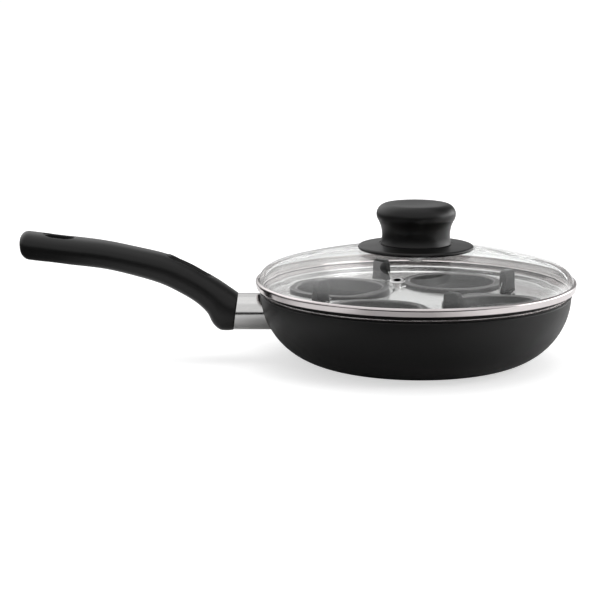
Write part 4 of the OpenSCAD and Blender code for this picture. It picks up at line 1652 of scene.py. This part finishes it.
@dataclass
class Lid(Assembly):
    """Domed glass with its steel rim, steam vent, heat disc and turned knob."""

    CROWN_STEPS: ClassVar[int] = 400
    BEND_STEPS: ClassVar[int] = 160
    CROWN_ROWS: ClassVar[int] = 62
    BEND_ROWS: ClassVar[int] = 26
    PACKED: ClassVar[dict[str, Slot]] = {
        "knob_gasket": Slot.SILICONE,
        "glass_gasket": Slot.SILICONE,
        "knob_insert": Slot.BRASS,
        "knob_washer": Slot.POLISHED_STEEL,
        "knob_screw": Slot.POLISHED_STEEL,
    }

    edge_r: float = 104.0
    foot: float = 50.0
    shoulder: Pair = (92.0, 50.2)
    shoulder_r: float = 12.0
    crown_top: float = 75.0
    glass_t: float = 4.0
    glass_end: float = 0.7
    hole_r: float = 4.0
    neck_foot: float = 46.1
    neck_r: float = 100.1
    neck_round: float = 0.45
    band_foot: float = 49.0
    band_foot_round: float = 0.7
    band_top: float = 54.4
    band_bow: float = 4.5
    band_bow_gap: float = 0.45
    band_slant: float = 0.6
    rim_r: float = 105.0
    rim_t: float = 0.6
    rim_curl: float = 1.503
    rim_join: float = 0.01
    painted_shade_reach: float = 1.5
    painted_shade_slack: float = 0.1
    neck_bright: Pair = (0.05, 0.7)
    vent_r: float = 77.2
    vent_turn: float = 258.1
    vent_hole_w: float = 5.8
    vent_hole_edge: float = 0.3
    vent_foot: float = 0.8
    vent_tube: Pair = (2.3, 2.85)
    vent_tube_round: float = 0.12
    vent_head: tuple[Corner, ...] = (
        (2.85, 0.05, 0.1),
        (4.8, 0.05, 0.25),
        (4.8, 0.5, 0.3),
        (3.9, 0.75, 0.9),
        (2.3, 0.75, 0.3),
    )
    vent_painted_shade: Pair = (2.4, 0.6)
    petals: int = 6
    petal_t: float = 0.5
    petal_edge: float = 0.12
    petal_root: Corner = (2.4, 1.1, 0.2)
    petal_tip: Corner = (5.7, 0.75, 0.6)
    disc_r: float = 37.8
    disc_t: float = 2.7
    disc_gap: float = 0.9
    disc_bore_r: float = 2.8
    hub_r: float = 24.2
    hub_d: float = 0.3
    hub_gap: float = 0.35
    hub_round: float = 0.12
    knob_foot: float = 77.52
    knob_h: float = 26.4
    knob_r: float = 25.9
    knob_edge: float = 6.8
    waist_in: float = 3.7
    waist_h: float = 6.0
    foot_edge_h: float = 0.5
    foot_flare: float = 0.12
    foot_round: float = 0.3
    dish_d: float = 0.8
    dish_r: float = 140.0
    dish_soft: float = 2.5
    insert_r: float = 4.55
    insert_h: float = 14.1
    insert_round: float = 0.2

    def __post_init__(self) -> None:
        """Works out the crown: its ball touches the shoulder's circle from inside."""
        rise = self.crown_top - self.shoulder[1]
        self.crown_r = (self.shoulder[0] ** 2 + rise**2 - self.shoulder_r**2) / (2 * (rise - self.shoulder_r))
        self.crown_z = self.crown_top - self.crown_r

    def dome(self, inset: float) -> Array:
        """Section of the dome drawn in by inset, from the hole over the crown and shoulder to the foot."""
        touch = math.degrees(math.atan2(self.shoulder[1] - self.crown_z, self.shoulder[0]))
        ball = self.crown_r - inset
        start = math.degrees(math.acos(self.hole_r / ball))
        crown = arc((0.0, self.crown_z), ball, start, touch, self.CROWN_STEPS)
        bend = arc(self.shoulder, self.shoulder_r - inset, touch, 0, self.BEND_STEPS)[1:]
        low = line(bend[-1], (self.edge_r - inset, self.foot), 2)[1:]
        return np.concatenate([crown, bend, low])

    def wall(self, inset: float) -> tuple[Skin, float]:
        """One face of the glass as a surface of the way along its section and the angle.

        Args:
            inset: Distance inside the outer face.

        Returns:
            The surface, and the way at which the vent stands.
        """
        section = self.dome(inset)
        way = running_length(section)

        def surface(u: Array, v: Array) -> Array:
            """Point at a running length and an angle in degrees."""
            r, z = np.interp(u, way, section[:, 0]), np.interp(u, way, section[:, 1])
            a = np.radians(v)
            return np.stack([r * np.cos(a), r * np.sin(a), z], axis=-1)

        bend = float(way[self.CROWN_STEPS])
        crown_rows = np.linspace(self.glass_end, bend, self.CROWN_ROWS)
        bend_rows = np.linspace(bend, way[-1] - self.glass_end, self.BEND_ROWS)[1:]
        skin = Skin(surface, np.concatenate([crown_rows, bend_rows]), full_turn(WIDE_TURN))
        crown = slice(self.CROWN_STEPS + 1)
        return skin, float(np.interp(self.vent_r, section[crown, 0], way[crown]))

    def vent_frame(self) -> tuple[Array, Array, Array, Array]:
        """Point on the glass at the vent, its upward normal, and the directions outwards and beside."""
        tilt = math.asin(self.vent_r / self.crown_r)
        a = math.radians(self.vent_turn)
        out = np.array([math.cos(a), math.sin(a), 0.0])
        up = math.sin(tilt) * out + math.cos(tilt) * AXIS_Z
        across = math.cos(tilt) * out - math.sin(tilt) * AXIS_Z
        beside = np.array([-math.sin(a), math.cos(a), 0.0])
        point = np.array([0.0, 0.0, self.crown_z]) + self.crown_r * up
        return point, up, across, beside

    def glass(self) -> Object:
        """Blows the glass: an outer and an inner face, ground edges, and the vent's hole through both."""
        draft = MeshDraft()
        point, up, across, beside = self.vent_frame()
        faces: list[Skin] = []
        mouths: list[Array] = []
        for inset, normal in ((0.0, up), (self.glass_t, -up)):
            face, way = self.wall(inset)
            cutter = Cutter(point, normal, across, beside, self.vent_hole_w, self.vent_hole_w)
            mouth, _ = face.cut(draft, cutter, (way, self.vent_turn), (4, 4), self.vent_hole_edge)
            faces.append(face)
            mouths.append(mouth)
        draft.grid(np.stack([mouths[0], matched(*mouths)]), wrap_cols=True)
        outer_rows, inner_rows = [face.draw(draft) for face in faces]
        self.ground_edge(draft, outer_rows[0], inner_rows[0], self.hole_r)
        self.ground_edge(draft, outer_rows[-1], inner_rows[-1], None)
        obj = draft.build("domed_glass")
        self.join(obj, "lid_glass", Body.LID.value, Slot.CLEAR_GLASS)
        normals = vectors(obj.data.polygons, "normal")
        second_finish(obj, self.finishes.of(Trim.INNER_GLASS), normals[:, 2] < 0.0)
        return obj

    def ground_edge(self, draft: MeshDraft, upper: Array, lower: Array, hole: float | None) -> None:
        """Joins the two faces with an edge whose corners are rounded by a blend of straight and round.

        Args:
            draft: Where the faces go.
            upper: Last ring of the outer face.
            lower: Last ring of the inner face.
            hole: Radius of the hole for the inner edge, or None for the foot.
        """
        t = np.linspace(0, 1, 13)[:, None, None]
        swell = (1 - np.abs(2 * t - 1) ** 4) ** 0.5
        ring = upper * (1 - t) + lower * t
        if hole is None:
            ring = ring - AXIS_Z * swell * (float(upper[0, 2]) - self.foot)
        else:
            flat = upper.copy()
            flat[:, 2] = 0.0
            radius = np.linalg.norm(flat, axis=1, keepdims=True)
            ring = ring - flat / radius * swell * (float(radius[0, 0]) - hole)
        draft.grid(ring, wrap_cols=True)

    def rim(self) -> Object:
        """Spins the rim from one strip: upright neck, ledge, outer band and an edge curled onto the glass."""
        c = self.rim_curl
        curve = rounded(
            [
                (self.neck_r, self.neck_foot, 0.0),
                (self.neck_r, self.band_foot, self.neck_round),
                (self.rim_r - self.band_slant, self.band_foot, self.band_foot_round),
                (self.rim_r, self.band_top - c - self.band_bow_gap, self.band_bow),
                (self.rim_r, self.band_top - c - self.rim_join, 0.0),
            ],
            steps=7,
            closed=False,
        )
        curl = arc((self.rim_r - c, self.band_top - c), c, 0, 90, 12)
        outline = sheet_loop(np.concatenate([curve, curl]), self.rim_t)
        obj = solid_revolve("spun_lid_rim", outline, WIDE_TURN)
        self.join(obj, "lid_rim", Body.LID.value, Slot.RIM_STEEL)
        # Painted shade: the neck and ledge under the band take the near-black steel.
        second_finish(obj, self.finishes.of(Trim.PAINTED_SHADE), self.painted_shade_of_rim(face_middles(obj)))
        return obj

    def painted_shade_of_rim(self, middles: Array) -> Array:
        """Which faces of the rim get painted shade: the neck's outside and the ledge, not the neck's inside.
        """
        away, z = np.hypot(middles[:, 0], middles[:, 1]), middles[:, 2]
        ledge = (z < self.band_foot + self.painted_shade_slack) & (away < self.rim_r - self.painted_shade_reach)
        below = (z < self.band_foot - self.painted_shade_slack) | ledge
        inward, down = self.neck_bright
        bright = (away < self.neck_r - inward) & (z < self.band_foot - down)
        return below & ~bright

    def vent(self) -> Object:
        """Rolls the vent: a domed flange on a short tube, with petals bent out under the glass."""
        point, up, across, beside = self.vent_frame()

        def place(points: Array, turn: float = 0.0) -> Array:
            """Turns points of the vent's own frame round its axis and puts them on the glass."""
            p = turned(points, turn)
            return point + p[..., :1] * across + p[..., 1:2] * beside + p[..., 2:] * up

        low = -self.glass_t - self.vent_foot
        tube = [(r, low, self.vent_tube_round) for r in self.vent_tube]
        draft = MeshDraft()
        outline = rounded([*tube, *self.vent_head], steps=5)
        draft.grid(place(revolve(outline, 64)), wrap_rows=True, wrap_cols=True)
        (root, root_half, root_round), (tip, tip_half, tip_round) = self.petal_root, self.petal_tip
        petal = rounded(
            [
                (root, -root_half, root_round),
                (tip, -tip_half, tip_round),
                (tip, tip_half, tip_round),
                (root, root_half, root_round),
            ]
        )
        for turn in full_turn(self.petals):
            spot = partial(place, turn=float(turn))
            add_prism(draft, petal, low, low + self.petal_t, self.petal_edge, spot)
        obj = draft.build("steam_vent_grommet")
        self.join(obj, "steam_vent", Body.LID.value, Slot.POLISHED_STEEL)
        away = face_middles(obj) - point
        painted_shade_r, painted_shade_top = self.vent_painted_shade
        bore = (np.hypot(away @ across, away @ beside) < painted_shade_r) & (away @ up < painted_shade_top)
        # Painted shade: the faces of the tube's bore take the near-black steel.
        second_finish(obj, self.finishes.of(Trim.PAINTED_SHADE), bore)
        return obj

    def disc(self) -> Object:
        """Turns the heat disc: a shell parallel to the glass with a round edge and a flat knob seat."""
        low, high = self.crown_r + self.disc_gap, self.crown_r + self.disc_gap + self.disc_t
        half = self.disc_t / 2
        edge = self.disc_r - half
        middle = (edge, self.crown_z + math.sqrt((low + half) ** 2 - edge**2))
        hub_z = self.crown_z + math.sqrt(high**2 - self.hub_r**2) - self.hub_d

        def angle(radius: float, ball: float) -> float:
            """Direction, in degrees, of the point of a ball that stands at a radius from the axis."""
            return math.degrees(math.acos(radius / ball))

        crown = (0.0, self.crown_z)
        top = arc(crown, high, angle(self.hub_r + self.hub_gap, high), angle(edge, high), 16)
        side = arc(middle, half, angle(edge, high), angle(edge, high) - 180, 18)[1:-1]
        under = arc(crown, low, angle(edge, low), angle(self.disc_bore_r, low), 24)
        seat = rounded(
            [
                (self.disc_bore_r, hub_z, 0.0),
                (self.hub_r, hub_z, self.hub_round),
                (self.hub_r, hub_z + self.hub_d, self.hub_round),
                (*top[1], 0.0),
            ],
            steps=3,
            closed=False,
        )
        obj = solid_revolve("heat_disc", np.concatenate([seat, top[2:], side, under]), SMALL_TURN)
        return self.join(obj, "knob_disc", Body.LID.value, Slot.PHENOLIC)

    def knob(self) -> Object:
        """Turns the knob: a dished top, a round edge, a hollow waist and a flared foot.

        The waist's circle touches the edge's circle, so their radii add up to the distance between their
        middles.

        Returns:
            The knob.
        """
        top = self.knob_foot + self.knob_h
        edge = (self.knob_r - self.knob_edge, top - self.knob_edge)
        dx = self.knob_edge - self.waist_in
        dz = self.knob_h - self.knob_edge - self.waist_h
        waist_r = (dx**2 + dz**2 - self.knob_edge**2) / (2 * self.waist_in)
        waist = (edge[0] + dx + waist_r, self.knob_foot + self.waist_h)
        flank = math.degrees(math.atan2(waist[1] - edge[1], waist[0] - edge[0]))
        meet = math.sqrt(2 * self.dish_r * self.dish_d)
        inside = math.degrees(math.asin((meet - self.dish_soft) / self.dish_r))
        dish = arc((0.0, top - self.dish_d + self.dish_r), self.dish_r, -90, -90 + inside, 18)
        lead = quadratic(dish[-1], (meet, top), (meet + self.dish_soft, top), 8)[1:]
        round_edge = arc(edge, self.knob_edge, 90, flank, 40)
        foot = math.degrees(math.asin((waist[1] - self.knob_foot - self.foot_edge_h) / waist_r))
        hollow = arc(waist, waist_r, 180 + flank, 180 + foot, 34)[1:]
        flare = float(hollow[-1][0]) + self.foot_flare
        base = rounded(
            [
                (*hollow[-1], 0.0),
                (flare, self.knob_foot, self.foot_round),
                (self.insert_r, self.knob_foot, 0.0),
            ],
            steps=5,
            closed=False,
        )
        bore_top = self.knob_foot + self.insert_h
        bore = rounded(
            [
                (self.insert_r, self.knob_foot, 0.0),
                (self.insert_r, bore_top, self.insert_round),
                (0.0, bore_top, 0.0),
            ],
            closed=False,
        )
        outline = np.concatenate([dish, lead, round_edge, hollow, base[1:], bore[1:]])
        obj = solid_revolve("turned_knob", outline, SMALL_TURN)
        return self.join(obj, "knob_grip", Body.LID.value, Slot.PHENOLIC)

    def make(self) -> None:
        """Builds the lid's pieces and dresses the gaskets, insert, washer and screw."""
        self.glass()
        self.rim()
        self.vent()
        self.disc()
        self.knob()
        self.dress()


# Studio


def gloss_only(obj: Object) -> None:
    """Marks a thing of the studio that only glossy rays meet."""
    obj.visible_camera = obj.visible_diffuse = obj.visible_shadow = obj.visible_transmission = False
    obj.visible_volume_scatter = False


def flat_sheet(name: str, low: Pair, high: Pair, z: float, material: Material) -> Object:
    """Level rectangle between two corners, in metres."""
    (x0, y0), (x1, y1) = low, high
    mesh = bpy.data.meshes.new(name)
    mesh.from_pydata([(x0, y0, z), (x1, y0, z), (x1, y1, z), (x0, y1, z)], [], [(0, 1, 2, 3)])
    mesh.materials.append(material)
    return link(name, mesh)


@dataclass(frozen=True)
class Lamp:
    """A soft rectangular lamp that looks at a point, with its share of the light on a flat white sheet."""

    name: str
    place: tuple[float, float, float]
    target: tuple[float, float, float]
    size: Pair
    share: float

    def make(self) -> None:
        """Hangs the lamp; its power is the share times pi squared times the squared distance."""
        data = bpy.data.lights.new(self.name, "AREA")
        data.shape = "RECTANGLE"
        data.size, data.size_y = self.size
        way = Vector(self.target) - Vector(self.place)
        data.energy = self.share * math.pi**2 * way.length_squared
        obj = link(self.name, data)
        obj.location = self.place
        obj.rotation_euler = way.to_track_quat("-Z", "Y").to_euler()
        obj.visible_glossy = False


@dataclass(frozen=True)
class Tent:
    """A half ball of cloth round the pan that only gloss sees: bright panels and dark gaps between them.

    Its brightness is a function of the direction from the middle of the floor. In front it is dark near
    the horizon and bright above. Behind it is dim, and brighter on the left and near the horizon. Low on
    the right, from the side to the back, stands a bright panel, and the top is bright all round. Each
    range is of one part of that direction: from dark to bright, or from one side to the other.
    """

    radius: float = 7.0
    front: float = 0.8
    top: float = 1.0
    back_left: float = 1.35
    back_right: float = 0.22
    horizon_left: float = 0.8
    horizon_right: float = 0.30
    panel: float = 3.4
    left_to_right: Pair = (-0.55, 0.45)
    front_to_back: Pair = (-0.15, 0.30)
    above_horizon: Pair = (0.16, 0.36)
    above_front: Pair = (0.10, 0.15)
    panel_side: Pair = (0.45, 0.80)
    panel_top: Pair = (0.50, 0.15)
    panel_front: Pair = (-0.45, -0.15)
    top_edge: Pair = (0.82, 0.93)

    def brightness(self, g: Graph) -> Socket:
        """Strength of the cloth's light at each of its points."""
        x, y, up = g.parts(g.stretch([1 / self.radius] * 3))
        right = g.step(x, self.left_to_right)
        high = g.span(right, self.back_left, self.back_right)
        low = g.span(right, self.horizon_left, self.horizon_right)
        behind = g.span(g.step(up, self.above_horizon), low, high)
        ahead = g.product(g.step(up, self.above_front), self.front)
        level = g.span(g.step(y, self.front_to_back), ahead, behind)
        on_side, on_front = g.step(x, self.panel_side), g.step(y, self.panel_front)
        level = g.span(g.product(on_side, g.step(up, self.panel_top), on_front), level, self.panel)
        return g.span(g.step(up, self.top_edge), level, self.top)

    def make(self) -> None:
        """Sets up the tent, hidden from the camera, from diffuse light, from glass and from shadows."""
        g = Graph("tent_cloth")
        weave = g.span(g.noise(1.2, 2.0), 0.97, 1.03, NOISE_RANGE)
        height = np.radians(np.linspace(0, 90, 25))
        profile = self.radius / MM * np.column_stack([np.cos(height), np.sin(height)])
        draft = MeshDraft()
        draft.grid(revolve(profile, 64), wrap_cols=True)
        obj = draft.build("reflection_tent", upwards)
        obj.data.materials.append(g.glow(g.product(self.brightness(g), weave)))
        gloss_only(obj)


@dataclass(frozen=True)
class Card:
    """A black card on the floor that only gloss sees, as a studio keeps light off dark pieces."""

    name: str
    low: Pair
    high: Pair
    height: float = 0.002

    def make(self) -> None:
        """Lays the card, hidden from the camera, from diffuse light, from glass and from shadows."""
        g = Graph(self.name + "_paper")
        material = g.glow(g.span(g.noise(8, 3.0), 0.0, 0.01))
        gloss_only(flat_sheet(self.name, self.low, self.high, self.height, material))


@dataclass
class Studio:
    """Pale floor, white surroundings, soft lamps and the camera at the photographed angle."""

    eye: tuple[float, float, float] = (-0.0758, -1.1783, 0.2669)
    pitch: float = 79.09
    lens: float = 109.35
    sensor: float = 36.0
    ambient: float = 0.55
    floor_half: float = 14.0
    floor_drop: float = 0.0003
    floor_albedo: float = 0.80
    floor_glow: float = 0.60
    floor_gloss: float = 0.50
    floor_left: float = 0.95
    floor_far: float = 0.15
    floor_right: float = 1.1
    left_range: Pair = (-0.09, -0.14)
    far_range: Pair = (-0.20, -0.26)
    right_range: Pair = (0.02, 0.12)
    lamps: tuple[Lamp, ...] = (
        Lamp("overhead_lamp", (0.1, 0.1, 1.7), (0.0, 0.0, 0.05), (1.5, 1.3), 0.34),
        Lamp("right_lamp", (1.35, -0.75, 1.0), (0.0, 0.0, 0.05), (0.9, 0.9), 0.24),
    )
    cards: tuple[Card, ...] = (
        Card("front_card", (-0.6, -6.9), (1.2, -0.235)),
        Card("guard_card", (-0.142, -0.235), (-0.110, -0.183)),
    )
    tent: Tent = Tent()

    def world(self) -> None:
        """Whitens what the camera, gloss and glass see, and keeps a softer level for diffuse light."""
        world = bpy.data.worlds.new("white_room")
        bpy.context.scene.world = world
        world.use_nodes = True
        nodes, links = world.node_tree.nodes, world.node_tree.links
        nodes.clear()
        path = nodes.new("ShaderNodeLightPath")
        seen = path.outputs["Is Camera Ray"]
        for name in ("Is Glossy Ray", "Is Transmission Ray"):
            either = nodes.new("ShaderNodeMath")
            either.operation = "MAXIMUM"
            links.new(seen, either.inputs[0])
            links.new(path.outputs[name], either.inputs[1])
            seen = either.outputs[0]
        level = nodes.new("ShaderNodeMapRange")
        level.inputs["To Min"].default_value = self.ambient
        links.new(seen, level.inputs["Value"])
        back = nodes.new("ShaderNodeBackground")
        back.inputs["Color"].default_value = (1.0, 1.0, 1.0, 1.0)
        links.new(level.outputs["Result"], back.inputs["Strength"])
        out = nodes.new("ShaderNodeOutputWorld")
        links.new(back.outputs[0], out.inputs["Surface"])

    def floor_tone(self, g: Graph) -> Socket:
        """Brightness of the floor in gloss, which changes from the far left to the right."""
        x = g.parts(g.object)[0]
        left = g.span(x, 0.0, self.floor_left - self.floor_gloss, self.left_range)
        far_left = g.span(x, 0.0, self.floor_far - self.floor_left, self.far_range)
        right = g.span(x, 0.0, self.floor_right - self.floor_gloss, self.right_range)
        return g.math("ADD", g.math("ADD", left, right), g.math("ADD", far_left, self.floor_gloss))

    def floor(self) -> None:
        """Lays the floor, a wide pale sheet.

        It glows a little for the camera and for rays through glass, shows gloss a tone of its own, and is
        clear to the camera from below, so that the pan's underside can be seen.
        """
        g = Graph("pale_floor")
        path = g.add("ShaderNodeLightPath").outputs
        seen = g.math("MAXIMUM", path["Is Camera Ray"], path["Is Transmission Ray"])
        tone = g.span(path["Is Glossy Ray"], self.floor_albedo, self.floor_tone(g))
        tone = g.product(tone, g.span(g.noise(60, 3.0), 0.995, 1.0))
        upper = g.principled(
            Base_Color=g.add("ShaderNodeCombineColor", {0: tone, 1: tone, 2: tone}).outputs[0],
            Roughness=0.9,
            Specular_IOR_Level=0.0,
            Emission_Color=(1.0, 1.0, 1.0, 1.0),
            Emission_Strength=g.product(seen, self.floor_glow),
        )
        below = g.product(g.add("ShaderNodeNewGeometry").outputs["Backfacing"], path["Is Camera Ray"])
        material = g.end(g.mixed(below, upper, g.add("ShaderNodeBsdfTransparent")))
        h = self.floor_half
        obj = flat_sheet("floor", (-h, -h), (h, h), -self.floor_drop, material)

    def camera(self) -> None:
        """Puts the camera where the photograph was taken from."""
        data = bpy.data.cameras.new("camera")
        data.sensor_width = self.sensor
        data.lens = self.lens
        obj = link("camera", data)
        obj.location = self.eye
        obj.rotation_euler = Euler((math.radians(self.pitch), 0.0, 0.0))
        bpy.context.scene.camera = obj

    def make(self) -> None:
        """Sets up the world, floor, lamps and camera."""
        self.world()
        self.floor()
        for item in (*self.lamps, *self.cards, self.tent):
            item.make()
        self.camera()
        bpy.context.scene.view_settings.view_transform = "Standard"


def main() -> None:
    """Builds the studio and each sub-assembly in order."""
    logging.basicConfig(level=logging.INFO, format="%(name)s: %(message)s")
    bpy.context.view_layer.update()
    Studio().make()
    finishes = Finishes()
    for assembly in (PanAndGuard(finishes), Handle(finishes), TrayAndCups(finishes), Lid(finishes)):
        assembly.make()


if __name__ == "__main__":
    main()
